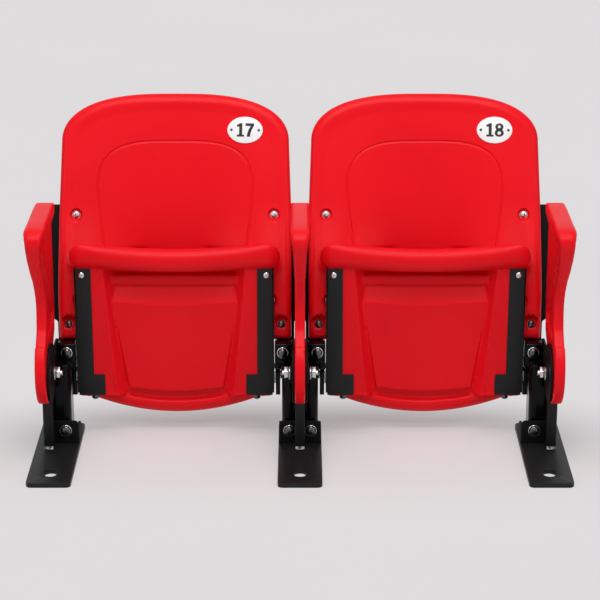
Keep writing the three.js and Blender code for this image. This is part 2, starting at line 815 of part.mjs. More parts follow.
function edgeFall(x, z) {
  const radius = backThickness / 2;
  const level = Math.max(backHalf(z) - Math.abs(x), 0);
  const upright = Math.max(backTopAt(x) - z, 0);
  const slant = Math.hypot(level, upright);
  const inset = Math.min(slant > 0 ? level * upright / slant : 0, z - backBottom + radius * 0.04);
  return radius - Math.sqrt(Math.max(radius ** 2 - Math.max(radius - inset, 0) ** 2, 0));
}

const backRowShares = [0, 0.012, 0.1, 0.196, 0.26, 0.35, 0.44, 0.504, 0.6, 0.7, 0.78, 0.85, 0.9,
  0.94, 0.965, 0.985, 0.997];
const backColumnShares = [0, 0.24, 0.48, 0.66];

function backPanel(middle) {
  const sections = backRowShares.map((rowShare) => {
    const z = backBottom + backHeight * rowShare;
    const half = backHalf(z);
    const fit = (x, share) => Math.min(x, half * share);
    const roll = backThickness / 2;
    const front = [
      ...backColumnShares.map((share) => half * share), fit(wingInner, 0.76),
      fit(wingInner + wingStep, 0.84), fit(half - roll, 0.93), fit(half - roll * 0.3, 0.985),
    ];
    const rear = [
      ...backColumnShares.map((share) => half * share), fit(wingInner + wingStep, 0.76),
      fit(wingInner + wingStep * 2, 0.86), fit(half - roll, 0.93), fit(half - roll * 0.3, 0.985),
    ];
    const mirrored = (xs) => [...xs.slice(1).reverse().map((x) => -x), ...xs];
    const point = (x, y) => new THREE.Vector3(middle + x, y, z);
    return [
      point(-half, backDepth(half, z, 0) + roll),
      ...mirrored(front).map((x) => point(x, backDepth(x, z, 0) + edgeFall(x, z))),
      point(half, backDepth(half, z, 0) + roll),
      ...mirrored(rear).reverse().map((x) => point(x,
        backDepth(x, z, wingStep) + backThickness - edgeFall(x, z))),
    ];
  });
  return loft(sections);
}

// The moulded line round the inner panel, cut as one channel that follows the face.

const lineTopShare = 0.808;
const lineBottomShare = 0.13;
const lineHighShare = 0.73;
const lineLowShare = 0.545;
const lineRoundShare = 0.57;         // 1 gives an ellipse and 0 a rectangle
const lineSteps = 32;

function panelLine(middle) {
  const top = backBottom + backHeight * lineTopShare;
  const bottom = backBottom + backHeight * lineBottomShare;
  const [cz, hz] = [(top + bottom) / 2, (top - bottom) / 2];
  const sections = [];
  for (let i = 0; i < lineSteps; i += 1) {
    const angle = i * Math.PI * 2 / lineSteps;
    const [c, s] = [Math.cos(angle), Math.sin(angle)];
    const z = cz + hz * Math.sign(s) * Math.abs(s) ** lineRoundShare;
    const half = backHalfWidth * mix(lineLowShare, lineHighShare, (z - bottom) / (top - bottom));
    const x = half * Math.sign(c) * Math.abs(c) ** lineRoundShare;
    sections.push({ x, z });
  }
  const ring = sections.map(({ x, z }, i) => {
    const next = sections[(i + 1) % lineSteps];
    const last = sections[(i - 1 + lineSteps) % lineSteps];
    const away = new THREE.Vector2(next.z - last.z, last.x - next.x).normalize();
    const rim = (offset, sink) => {
      const [px, pz] = [x + away.x * offset, z + away.y * offset];
      return new THREE.Vector3(middle + px, backDepth(px, pz, 0) + sink, pz);
    };
    return [rim(-lineWidth / 2, -overrun), rim(lineWidth / 2, -overrun),
      rim(lineWidth / 2, lineDepth * 0.3), rim(0, lineDepth), rim(-lineWidth / 2, lineDepth * 0.3)];
  });
  return closedLoft(ring);
}

// Where a back bolt stands, and the strap's front face behind the wings.

const backBolts = [
  { level: 'upper', x: upperBoltX, z: upperBoltZ },
  { level: 'lower', x: lowerBoltX, z: lowerBoltZ },
];

function strapFace(z) {
  const low = Math.max(wingY + backThickness + clearance, headRear) + clearance;
  const knee = kneeY + backThickness + strapGap;
  if (z < upperBoltZ) return mix(low, knee, (z - strapBend) / (upperBoltZ - strapBend));
  return wingDepth(z) + backThickness + strapGap;
}

function back(middle) {
  let body = cut(backPanel(middle), panelLine(middle));
  for (const { x, z } of backBolts) {
    for (const side of [-1, 1]) {
      const at = middle + side * x;
      const surface = backDepth(x, z, 0);
      const pad = rod('y', at, z, backRecessRadius, surface + backThickness / 2,
        strapFace(z - backRecessRadius) - clearance, roundSides);
      const sink = rod('y', at, z, backRecessRadius, surface - backThickness,
        surface + backRecessDepth, roundSides);
      const bore = rod('y', at, z, backBoltRadius + clearance, surface - overrun,
        strapFace(z) + overrun);
      body = cut(join(body, pad), sink, bore);
    }
  }
  return body;
}

function strap(near, side) {
  const middle = near + side * pitch / 2;
  const at = (x) => middle - side * x;
  const heights = [headBottom + clearance, strapBend, upperBoltZ, strapTop];
  const profile = [
    ...heights.map((z) => [strapFace(z), z]),
    ...heights.map((z) => [strapFace(z) + strapThickness, z]).reverse(),
  ];
  const half = strapWidth / 2;
  const plateEdge = pitch / 2 - strapSideGap;
  const neckEdge = pitch / 2 - strapNeckGap;
  const bar = extrude('x', outline(profile), at(upperBoltX - strapWidth), at(pitch / 2));
  const face = extrude('y', outline([
    [neckEdge, headBottom - overrun], [neckEdge, strapFlare],
    [plateEdge, strapFlare + plateEdge - neckEdge], [plateEdge, strapTop + overrun],
    [upperBoltX - half, strapTop + overrun], [upperBoltX - half, upperBoltZ],
    [lowerBoltX - half, wingTop], [lowerBoltX - half, headBottom - overrun],
  ].map(([x, z]) => [at(x), z])), headRear - overrun,
  strapFace(strapTop) + strapThickness + overrun);
  const bores = backBolts.map(({ x, z }) => rod('y', at(x), z, backBoltRadius + clearance,
    headRear - overrun, strapFace(strapTop) + strapThickness * 2));
  const headBore = rod('y', near + side * headBoltPlace, headBoltHeight,
    headBoltRadius + clearance, headRear - overrun, headRear + strapThickness * 2);
  return cut(bar.intersect(face), ...bores, headBore);
}

function backBolt(x, z, magnitude) {
  const seat = backDepth(magnitude, z, 0) + backRecessDepth - clearance;
  const end = strapFace(z + backDomeRadius) + strapThickness + clearance;
  const nut = extrude('y', hexagon(x, z, backDomeRadius), end + clearance,
    end + backNutThickness);
  const bolt = domeBoltY(x, z, seat, backDomeRadius, backDomeHeight, backBoltRadius,
    end + backNutThickness + clearance);
  return join(bolt, nut);
}

// Seat pan, folded: sitting shell, rails, main panel, cross rib and the rolled lip.

const shellSteps = 32;

function seatShell(middle) {
  const top = railTop;
  const height = top - seatLow;
  const centre = seatLow + height / 2;
  const shape = new THREE.Shape();
  shape.moveTo(0, seatLow);
  shape.bezierCurveTo(seatHalfWidth * 0.45, seatLow, seatHalfWidth * 0.75, seatLow + seatArcRise * 0.45,
    seatHalfWidth * 0.95, seatLow + seatArcRise);
  shape.quadraticCurveTo(seatHalfWidth, seatLow + seatArcRise * 1.15, seatHalfWidth,
    seatLow + seatArcRise * 1.8);
  shape.lineTo(seatHalfWidth, top);
  shape.lineTo(-seatHalfWidth, top);
  shape.lineTo(-seatHalfWidth, seatLow + seatArcRise * 1.8);
  shape.quadraticCurveTo(-seatHalfWidth, seatLow + seatArcRise * 1.15, -seatHalfWidth * 0.95,
    seatLow + seatArcRise);
  shape.bezierCurveTo(-seatHalfWidth * 0.75, seatLow + seatArcRise * 0.45, -seatHalfWidth * 0.45,
    seatLow, 0, seatLow);
  const rim = shape.getSpacedPoints(shellSteps).slice(0, shellSteps);
  const inset = (distance) => rim.map((point) => new THREE.Vector2(
    point.x * (seatHalfWidth - distance) / seatHalfWidth,
    centre + (point.y - centre) * (height / 2 - distance) / (height / 2)));
  const dish = (x, z) => seatDish * (1 - (x / seatHalfWidth) ** 2)
    * (1 - ((z - centre) / (height / 2)) ** 2) ** 0.5;
  const at = (points, y, dished) => points.map((point) => new THREE.Vector3(middle + point.x,
    y - (dished ? dish(point.x, Math.min(Math.max(point.y, seatLow), top)) : 0), point.y));
  const r = seatRim;
  return loft([
    at(inset(seatHalfWidth * 0.6), seatFloor), at(inset(r * 0.5), seatFloor),
    at(inset(r * 0.12), seatFloor + r * 0.3), at(rim, seatFloor + r * 0.75),
    at(inset(r * 0.12), seatRear - r * 0.4), at(inset(r * 0.5), seatRear - r * 0.1),
    at(inset(r * 1.1), seatRear, true), at(inset(r * 4), seatRear, true),
    at(inset(seatHalfWidth * 0.85), seatRear, true),
  ]);
}

// A prism whose front and rear outlines differ, for drafted ribs and panels.

function drafted(frontPoints, rearPoints, front, rear) {
  return loft([frontPoints.map(([x, z]) => new THREE.Vector3(x, front, z)),
    rearPoints.map(([x, z]) => new THREE.Vector3(x, rear, z))]);
}

const railCrestShares = [0.735, 0.63];      // inner edge at top and bottom, of the shell's half width
const railFootShares = [0.69, 0.545];
const panelHalfShares = [0.66, 0.56];
const bandTopShare = 0.89;                  // where the sloped band starts, of the rail's length
const panelTopShare = 0.765;

function rail(middle, side) {
  const x = (value) => middle + side * value;
  const zTop = lipBottom + overrun * 3;
  const crest = railCrestShares.map((share) => seatHalfWidth * share);
  const foot = railFootShares.map((share) => seatHalfWidth * share);
  const inner = drafted(
    [[x(crest[0]), zTop], [x(seatHalfWidth), zTop], [x(seatHalfWidth), railBottom + railDraft],
      [x(crest[1]), railBottom + railDraft]],
    [[x(foot[0]), zTop], [x(seatHalfWidth), zTop], [x(seatHalfWidth), railBottom],
      [x(foot[1]), railBottom]],
    seatFront, seatFloor + seatRim);
  const ledge = extrude('y', roundedBox(Math.min(x(seatHalfWidth * 0.8), x(ledgeHalfWidth)),
    Math.max(x(seatHalfWidth * 0.8), x(ledgeHalfWidth)), railBottom, zTop, ledgeDepth),
  seatFront, seatFront + ledgeDepth);
  return join(inner, ledge);
}

function mainPanel(middle) {
  const zTop = railBottom + (railTop - railBottom) * panelTopShare;
  const zBand = railBottom + (railTop - railBottom) * (bandTopShare - 0.05);
  const [high, low] = panelHalfShares.map((share) => seatHalfWidth * share);
  const steps = 6;
  const bottomEdge = (half, lift) => Array.from({ length: steps + 1 }, (_, i) => {
    const share = -1 + 2 * i / steps;
    return [middle + half * share, railBottom + lift + panelArc * share * share];
  });
  return drafted(
    [...bottomEdge(low, panelLift), [middle + high, zTop], [middle - high, zTop]],
    [...bottomEdge(low + panelDraft, panelLift - clearance), [middle + high + panelDraft, zBand],
      [middle - high - panelDraft, zBand]],
    panelFront, seatFloor + seatRim / 2);
}

function crossRib(middle) {
  const half = seatHalfWidth * railCrestShares[0] + overrun;
  return drafted(
    [[middle - half, ribBottom + ribDraft], [middle + half, ribBottom + ribDraft],
      [middle + half, ribTop - ribDraft], [middle - half, ribTop - ribDraft]],
    [[middle - half, ribBottom], [middle + half, ribBottom], [middle + half, ribTop],
      [middle - half, ribTop]],
    panelFront - ribDraft, seatFloor + seatRim / 2);
}

// Lip stations: [half-width share, size share].

const lipStationShares = [
  [-1, 0.42], [-0.985, 0.7], [-0.95, 0.92], [-0.89, 1], [-0.6, 1], [-0.25, 1],
  [0.25, 1], [0.6, 1], [0.89, 1], [0.95, 0.92], [0.985, 0.7], [1, 0.42],
];
const lipRoundShare = 0.78;          // 1 gives an ellipse and 0 a rectangle
const lipFadeShare = 0.22;           // of the half width, where the rear draws in to its end
const lipFallShare = 0.75;           // how far the side that is sat on falls away to its middle

function lip(middle) {
  const sections = lipStationShares.map(([wide, size]) => {
    const x = lipHalfWidth * wide;
    const bow = 1 - wide * wide;
    const y0 = mix(lipNoseEnd, lipNose, bow);
    const y1 = mix(lipRearEnd, lipRear, smooth((1 - Math.abs(wide)) / lipFadeShare));
    const [cy, cz] = [(y0 + y1) / 2, (lipTop + lipBottom) / 2];
    const [hy, hz] = [(y1 - y0) / 2 * size, (lipTop - lipBottom) / 2 * size];
    return Array.from({ length: fineSides }, (_, i) => {
      const angle = i * Math.PI * 2 / fineSides;
      const [c, s] = [Math.cos(angle), Math.sin(angle)];
      const y = cy + hy * Math.sign(c) * Math.abs(c) ** lipRoundShare;
      const rise = hz * Math.sign(s) * Math.abs(s) ** lipRoundShare;
      const fall = rise > 0 ? lipFallShare * smooth((y - y0) / (y1 - y0)) : 0;
      return new THREE.Vector3(middle + x, y, cz + rise * (1 - fall));
    });
  });
  return loft(sections);
}

function seatPan(middle) {
  return join(seatShell(middle), rail(middle, 1), rail(middle, -1), mainPanel(middle),
    crossRib(middle), lip(middle));
}

// Seat bracket: front flange with a tab, side flange with the pivot ear, rivet and foot bolt.

function seatBracket(near, side) {
  const middle = near + side * pitch / 2;
  const x = (value) => middle - side * value;
  const [outer, inner] = [x(bracketHalfWidth), x(bracketHalfWidth - bracketFlange)];
  const front = seatFront - clearance - bracketThickness;
  const rear = seatFront - clearance;
  const tabIn = x(bracketHalfWidth - tabWidth);
  const face = extrude('y', outline([
    [outer, bracketBottom], [tabIn, bracketBottom], [tabIn, bracketBottom + tabHeight],
    [inner, bracketBottom + tabHeight], [inner + side * -overrun, bracketTop],
    [outer, bracketTop],
  ]), front, rear);
  const flange = extrude('x', outline([
    [front, bracketBottom], [front, bracketTop], [front + bracketReturn, bracketTop],
    [front + bracketReturn, pivotZ + earRadius * 3.4],
    [pivotY + earRadius * 0.9, pivotZ + earRadius * 1.1],
    [pivotY + earRadius * 1.2, pivotZ], [pivotY + earRadius * 0.8, pivotZ - earRadius * 1.1],
    [front + bracketReturn * 2, bracketBottom],
  ]), outer, x(bracketHalfWidth - bracketThickness));
  const shelf = extrude('z', rectangle(Math.min(outer, tabIn), Math.max(outer, tabIn), front,
    front + bracketReturn * 2), bracketBottom - bracketThickness, bracketBottom);
  const footX = x(bracketHalfWidth - bracketFlange - overrun);
  const footBolt = revolve('z', [footX, front + bracketReturn, bracketBottom - bracketThickness], [
    [0, clearance], [footBoltRadius, clearance], [footBoltRadius, -footBoltHeight / 2],
    [footBoltRadius * 0.7, -footBoltHeight], [0, -footBoltHeight],
  ]);
  const rivet = revolve('y', [x(bracketHalfWidth - bracketFlange * 0.48), front,
    bracketTop - bracketFlange * 0.45], [
    [0, clearance], [rivetRadius, clearance], [rivetRadius, -rivetHeight * 0.3],
    [rivetRadius * 0.6, -rivetHeight], [0, -rivetHeight],
  ]);
  const bore = rod('x', pivotY, pivotZ, pinRadius + clearance, outer - side * overrun,
    x(bracketHalfWidth - bracketThickness) + side * overrun, roundSides);
  return join(cut(join(face, flange, shelf), bore), footBolt, rivet);
}

// The three standards and the two seats.

const standards = [
  { name: 'left', near: -pitch, sides: [1], plate: -pitch + endPlateInset },
  { name: 'centre', near: 0, sides: [-1, 1], plate: 0 },
  { name: 'right', near: pitch, sides: [-1], plate: pitch - endPlateInset },
];
const seats = [
  { name: 'left', middle: -pitch / 2 },
  { name: 'right', middle: pitch / 2 },
];

for (const { name, near, sides, plate } of standards) {
  const end = sides.length === 1;
  const shoes = sides.map((side) => shoe(near, side, end ? endShoeShift : 0));
  place(`base_plate_${name}`, join(basePlate(plate), ...shoes), satinBlack);
  place(`post_${name}`, post(near), satinBlack);
  place(`arm_${name}`, arm(near, sides), redPlastic);
  place(`hub_bolt_${name}`, hubBolt(near, sides), brightZinc);
  for (const side of sides) {
    const seatName = near + side * pitch / 2 < 0 ? 'left' : 'right';
    const tag = `${seatName}_seat_${side > 0 ? 'l' : 'r'}`;
    const shift = end ? endColumnShift : 0;
    place(`column_${tag}`, column(near, side, shift), glossBlack);
    place(`head_${tag}`, head(near, side, shift), glossBlack);
    place(`side_plate_${tag}`, sidePlate(near, side), glossBlack);
    place(`head_bolt_${tag}`, headBolt(near, side), brightZinc);
    place(`pivot_pin_${tag}`, pivotPin(near, side), brightZinc);
    place(`stop_lever_${tag}`, stopLever(near, side), satinBlack);
    place(`return_spring_${tag}`, springTube(springPath(near, side)), springSteel);
    place(`back_strap_${tag}`, strap(near, side), satinBlack);
    place(`seat_bracket_${tag}`, seatBracket(near, side), satinBlack);
  }
}
for (const { name, middle } of seats) {
  place(`back_${name}`, back(middle), redPlastic);
  place(`seat_pan_${name}`, seatPan(middle), redPlastic);
  for (const { level, x, z } of backBolts) {
    for (const side of [-1, 1]) {
      place(`back_bolt_${name}_${level}_${side < 0 ? 'l' : 'r'}`,
        backBolt(middle + side * x, z, x), brightZinc);
    }
  }
}

console.log(`return spring: least gap to itself ${leastGap(springPath(0, 1)).toFixed(2)} mm`);

// The origin is under the middle of the bank's own box.

const box = new THREE.Box3().setFromObject(group);
group.position.y = -(box.min.y + box.max.y) / 2;

export default group;
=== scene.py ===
# The looks of a bank of two tip-up stadium seats on three shared arm standards.
# Pieces are drawn in millimetres. Y is measured from the datum plane of the standards, and what
# belongs to a seat is drawn round that seat's own middle. They are placed in metres.

import json
from math import atan2, cos, hypot, pi, radians, sin, sqrt, tan

import bmesh
import bpy
from mathutils import Matrix, Vector


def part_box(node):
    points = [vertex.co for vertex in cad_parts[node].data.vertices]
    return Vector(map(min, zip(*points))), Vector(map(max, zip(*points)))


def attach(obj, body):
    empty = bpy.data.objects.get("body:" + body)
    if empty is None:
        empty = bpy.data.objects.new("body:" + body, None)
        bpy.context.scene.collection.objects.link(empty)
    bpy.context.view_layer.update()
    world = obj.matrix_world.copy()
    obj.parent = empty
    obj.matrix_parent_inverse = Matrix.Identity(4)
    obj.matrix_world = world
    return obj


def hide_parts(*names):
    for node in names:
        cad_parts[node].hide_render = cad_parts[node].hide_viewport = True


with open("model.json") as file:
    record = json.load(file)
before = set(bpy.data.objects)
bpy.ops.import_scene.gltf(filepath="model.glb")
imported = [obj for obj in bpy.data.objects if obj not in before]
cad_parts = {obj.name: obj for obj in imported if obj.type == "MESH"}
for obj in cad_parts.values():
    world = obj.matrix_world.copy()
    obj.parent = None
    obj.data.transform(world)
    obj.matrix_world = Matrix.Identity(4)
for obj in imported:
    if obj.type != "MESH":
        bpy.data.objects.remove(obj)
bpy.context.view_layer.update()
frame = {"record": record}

MM = 0.001
COLUMN_FRONT = 16  # the columns start this far ahead of the datum plane
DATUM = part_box("column_left_seat_l")[0].y / MM + COLUMN_FRONT


def box(node):
    """Lowest and highest corner of a CAD node, in millimetres from the datum plane."""
    return [Vector(corner) / MM - Vector((0, DATUM, 0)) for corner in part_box(node)]


def middle(node):
    low, high = box(node)
    return (low.x + high.x) / 2


STANDARDS = {name: middle(f"arm_{name}") for name in ("left", "centre", "right")}
SEATS = {name: middle(f"back_{name}") for name in ("left", "right")}
OUTWARD = {"left": -1, "centre": 0, "right": 1}

# Where a seat meets a standard: tag, standard, and the side of the standard it is on
CORNERS = [
    ("left_seat_l", "left", 1),
    ("left_seat_r", "centre", -1),
    ("right_seat_l", "centre", 1),
    ("right_seat_r", "right", -1),
]
PITCH = STANDARDS["right"] - STANDARDS["centre"]


# Finishes

def linear(colour):
    """An sRGB hex value as the linear colour that a shader takes."""
    channels = [int(colour[i:i + 2], 16) / 255 for i in (1, 3, 5)]
    return (*[c / 12.92 if c <= 0.04045 else ((c + 0.055) / 1.055) ** 2.4 for c in channels], 1)


def add(tree, kind, links=(), **settings):
    """Adds a node, sets its sockets or properties by name, and links its inputs."""
    node = tree.nodes.new("ShaderNode" + kind)
    for name, value in settings.items():
        socket = node.inputs.get(name.replace("_", " "))
        if socket is None:
            setattr(node, name, value)
        else:
            socket.default_value = value
    for source, output, target in links:
        tree.links.new(source.outputs[output], node.inputs[target])
    return node


def fresh_tree(owner):
    """The emptied node tree of a material or a world."""
    owner.use_nodes = True
    owner.node_tree.nodes.clear()
    return owner.node_tree


MOTTLE_SCALE = 6.0  # clouds about 150 mm across, as on any large moulding
CLOUD_LOW, CLOUD_HIGH = 0.3, 0.7  # nearly all of the noise lies between these
GLOSS_SPREAD = 0.08  # how far the clouds change the roughness
RELIEF_SHARE = 0.2  # height of the relief over its grain


def finish(name, slot, colour, rough, metal=0.0, grain=1.0, relief=0.1, mottle=0.06, **more):
    """A finish with a surface relief of the given grain in millimetres and a faint mottle."""
    material = bpy.data.materials.new(name)
    material["slot"] = slot
    tree = fresh_tree(material)
    place = add(tree, "TexCoord")
    skin = add(tree, "TexNoise", [(place, "Object", "Vector")],
               Scale=1 / (grain * MM), Detail=2.0, Roughness=0.5)
    cloud = add(tree, "TexNoise", [(place, "Object", "Vector")], Scale=MOTTLE_SCALE, Detail=3.0)
    clouds = {"links": [(cloud, "Fac", "Value")], "From_Min": CLOUD_LOW, "From_Max": CLOUD_HIGH}
    shade = add(tree, "MapRange", **clouds, To_Min=1 - mottle, To_Max=1 + mottle)
    gloss = add(tree, "MapRange", **clouds, To_Min=rough * (1 - GLOSS_SPREAD),
                To_Max=rough * (1 + GLOSS_SPREAD))
    tint = add(tree, "VectorMath", [(shade, "Result", "Scale")], operation="SCALE")
    tint.inputs[0].default_value = linear(colour)[:3]
    bump = add(tree, "Bump", [(skin, "Fac", "Height")],
               Strength=relief, Distance=grain * MM * RELIEF_SHARE)
    shader = add(tree, "BsdfPrincipled",
                 [(tint, "Vector", "Base Color"), (gloss, "Result", "Roughness"),
                  (bump, "Normal", "Normal")], Metallic=metal, **more)
    add(tree, "OutputMaterial", [(shader, "BSDF", "Surface")])
    return material


# Blow-moulded polyethylene: saturated red, satin, with the faint orange peel of the mould
RED = finish("red_polyethylene_moulded", "red_plastic", "#e5121e", 0.33, grain=1.6, relief=0.10,
             mottle=0.03, Specular_IOR_Level=0.11)
# Gloss powder coat on the castings and tubes: near black, sharp highlights, slight orange peel
GLOSS = finish("gloss_black_powder_coat", "gloss_black_steel", "#040505", 0.15, grain=2.2,
               relief=0.10, mottle=0.10, Specular_IOR_Level=0.12)
# Satin powder coat on the folded steel: charcoal, fine and even
SATIN = finish("satin_black_powder_coat", "satin_black_steel", "#141617", 0.42, grain=0.7,
               relief=0.16, mottle=0.08, Specular_IOR_Level=0.25)
# The satin black steel of the inner plates, straps and shoes as a darker, rougher copy: its
# near-black colour is painted shade, darker than the satin black these parts really have, with
# hardly any shine
SHADED_SATIN = finish("satin_black_painted_shade", "satin_black_steel", "#0a0a0b", 0.62, grain=0.8,
              relief=0.16, mottle=0.08, Specular_IOR_Level=0.12)
# Bright zinc plate on the fasteners: a clear cool metal with faint rolling marks
ZINC = finish("bright_zinc_plate", "bright_zinc", "#cfd1d2", 0.20, metal=1.0, grain=0.9,
              relief=0.06, mottle=0.05)
# Black zinc on the sunk screws: dark metal that still shows a glint
DARK_ZINC = finish("black_zinc_plate", "satin_black_steel", "#5a5c5e", 0.2, metal=1.0,
                   grain=0.9, relief=0.06, mottle=0.05)
# Oiled spring steel: mid grey drawn wire
SPRING = finish("spring_steel_wire", "spring_steel", "#85898b", 0.30, metal=1.0, grain=0.6,
                relief=0.08, mottle=0.08)
# Enamelled number plate: clean white with a soft gloss
ENAMEL = finish("white_enamel_plate", "bright_zinc", "#eeeeee", 0.32, grain=1.2, relief=0.04,
                mottle=0.02)
# Screen-printed ink: dense black and flat
INK = finish("black_screen_ink", "bright_zinc", "#0e0e0f", 0.55, grain=0.5, relief=0.05,
             mottle=0.04)


# Making pieces

def placed(name, data):
    """A new object in the scene."""
    piece = bpy.data.objects.new(name, data)
    bpy.context.scene.collection.objects.link(piece)
    return piece


def as_mesh(bm, name):
    mesh = bpy.data.meshes.new(name)
    bm.to_mesh(mesh)
    bm.free()
    return mesh


def join(bm, made):
    """Adds one shape to another."""
    mesh = as_mesh(made, "part")
    bm.from_mesh(mesh)
    bpy.data.meshes.remove(mesh)


def settle(bm, name, material, at=0.0, side=1, body="standards", crease=38, replaces=()):
    """Places a shape that was drawn in millimetres and lets it ride on a body."""
    bm.transform(Matrix.Scale(MM, 4) @ Matrix.Translation((at, DATUM, 0))
                 @ Matrix.Diagonal((side, 1, 1, 1)))
    bmesh.ops.recalc_face_normals(bm, faces=bm.faces)
    mesh = as_mesh(bm, name)
    mesh.materials.append(material)
    mesh.shade_smooth()
    mesh.set_sharp_from_angle(angle=radians(crease))
    piece = placed(name, mesh)
    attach(piece, body)
    if replaces:
        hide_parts(*replaces)


def body_of(node):
    """The body that holds a CAD node."""
    bodies = frame["record"]["behaviour"]["bodies"]
    return next(body for body, nodes in bodies.items() if node in nodes)


def fit(bm, corner, material, name, node=None, body="standards"):
    """Settles a piece of a corner, drawn from the middle of its standard; {} is its tag."""
    tag, standard, side = corner
    nodes = [node.format(tag)] if node else []
    settle(bm, name.format(tag), material, at=STANDARDS[standard], side=side,
           body=body_of(nodes[0]) if nodes else body, replaces=nodes)


def soften(bm, width, segments=2, angle=28):
    """Rounds every edge that is sharper than the angle."""
    edges = [edge for edge in bm.edges
             if len(edge.link_faces) == 2 and edge.calc_face_angle() > radians(angle)]
    bmesh.ops.bevel(bm, geom=edges, offset=width, offset_type="OFFSET", segments=segments,
                    profile=0.5, affect="EDGES", clamp_overlap=True, material=-1)


PLANES = {
    "x": lambda u, v, along: (along, u, v),
    "y": lambda u, v, along: (u, along, v),
    "z": lambda u, v, along: (u, v, along),
}


def prism(bm, axis, outline, start, end, holes=()):
    """An outline in the plane square to an axis, pushed along it from start to end."""
    spot = PLANES[axis]
    edges = []
    for points in (outline, *holes):
        loop = [bm.verts.new(spot(u, v, start)) for u, v in points]
        edges += [bm.edges.new((loop[i - 1], loop[i])) for i in range(len(loop))]
    if holes:
        faces = bmesh.ops.triangle_fill(bm, use_beauty=True, use_dissolve=False,
                                        edges=edges)["geom"]
        faces = [item for item in faces if isinstance(item, bmesh.types.BMFace)]
    else:
        faces = [bm.faces.new(loop)]
    pushed = bmesh.ops.extrude_face_region(bm, geom=faces)["geom"]
    verts = [item for item in pushed if isinstance(item, bmesh.types.BMVert)]
    bmesh.ops.translate(bm, verts=verts, vec=spot(0, 0, end - start))


def block(width, *prisms, segments=2, angle=28, onto=None):
    """Prisms whose sharp edges are rounded together: a new shape, or more of an old one."""
    made = bmesh.new()
    for shape in prisms:
        prism(made, *shape)
    soften(made, width, segments, angle)
    if onto is None:
        return made
    join(onto, made)
    return onto


def rounded(corners, radii, steps=5):
    """An outline whose corners are arcs; radii is one radius or one for each corner."""
    if not hasattr(radii, "__len__"):
        radii = [radii] * len(corners)
    points = []
    for i, radius in enumerate(radii):
        here = Vector(corners[i])
        before = (Vector(corners[i - 1]) - here).normalized()
        after = (Vector(corners[(i + 1) % len(corners)]) - here).normalized()
        if radius <= 0:
            points.append(tuple(here))
            continue
        half = before.angle(after) / 2
        centre = here + (before + after).normalized() * radius / sin(half)
        start = here + before * radius / tan(half) - centre
        end = here + after * radius / tan(half) - centre
        first = atan2(start.y, start.x)
        sweep = (atan2(end.y, end.x) - first + pi) % (2 * pi) - pi
        for k in range(steps + 1):
            angle = first + sweep * k / steps
            points.append((centre.x + radius * cos(angle), centre.y + radius * sin(angle)))
    return points


def rectangle(u0, u1, v0, v1, radius=0.0, steps=5):
    return rounded([(u0, v0), (u1, v0), (u1, v1), (u0, v1)], radius, steps)


def arc(centre, radius, start, end, steps):
    """Points of an arc, its angles in degrees."""
    turns = [radians(start + (end - start) * k / steps) for k in range(steps + 1)]
    return [(centre[0] + radius * cos(turn), centre[1] + radius * sin(turn)) for turn in turns]


def through(points, steps=6):
    """A smooth line through the points, without its last one."""
    line = []
    for i in range(len(points) - 1):
        a, b = Vector(points[max(i - 1, 0)]), Vector(points[i])
        c, d = Vector(points[i + 1]), Vector(points[min(i + 2, len(points) - 1)])
        for k in range(steps):
            t = k / steps
            line.append(tuple(0.5 * (2 * b + (c - a) * t + (2 * a - 5 * b + 4 * c - d) * t ** 2
                                     + (3 * b - a - 3 * c + d) * t ** 3)))
    return line


ROUND_STEPS = 48
TURNS = {"x": Matrix.Rotation(pi / 2, 4, "Y"), "y": Matrix.Rotation(-pi / 2, 4, "X"),
         "z": Matrix.Identity(4)}


def turned(bm, axis, centre, profile, closed=False, steps=ROUND_STEPS):
    """A round shape spun about an axis from a profile of radius and height along that axis."""
    place = Matrix.Translation(centre) @ TURNS[axis]
    verts = [bm.verts.new(place @ Vector((radius, 0, height))) for radius, height in profile]
    first = 0 if closed else 1
    edges = [bm.edges.new((verts[i - 1], verts[i])) for i in range(first, len(verts))]
    bmesh.ops.spin(bm, geom=verts + edges, cent=centre, axis=place.to_3x3() @ Vector((0, 0, 1)),
                   dvec=(0, 0, 0), angle=2 * pi, steps=steps, use_merge=True,
                   use_duplicate=False)
    bmesh.ops.remove_doubles(bm, verts=bm.verts, dist=0.001)


def disc(bm, axis, centre, radius, start, end, chamfer=(0, 0), steps=ROUND_STEPS):
    """A round shape from start to end, with a chamfer of in and back at its end."""
    inward, back = chamfer
    corner = [(radius, end - back), (radius - inward, end)] if inward else [(radius, end)]
    turned(bm, axis, centre, [(0, start), (radius, start), *corner, (0, end)], steps=steps)


def rings(bm, sections):
    """Joins closed sections of equal count one to the next and closes both ends."""
    count = len(sections[0])
    ring = bmesh.ops.create_circle(bm, cap_ends=False, segments=count, radius=1)["verts"]
    first = ring
    for vert, place in zip(ring, sections[0]):
        vert.co = place
    for section in sections[1:]:
        edges = [edge for i, vert in enumerate(ring) for edge in vert.link_edges
                 if edge.other_vert(vert) == ring[(i + 1) % count]]
        made = bmesh.ops.extrude_edge_only(bm, edges=edges)["geom"]
        fresh = {item for item in made if isinstance(item, bmesh.types.BMVert)}
        ring = [next(edge.other_vert(vert) for edge in vert.link_edges
                     if edge.other_vert(vert) in fresh) for vert in ring]
        for vert, place in zip(ring, section):
            vert.co = place
    ends = [bm.faces.new(end) for end in (first, ring)]
    bmesh.ops.poke(bm, faces=ends)


def mix(a, b, share):
    return a + (b - a) * min(max(share, 0), 1)


def smooth(share):
    share = min(max(share, 0), 1)
    return share * share * (3 - 2 * share)


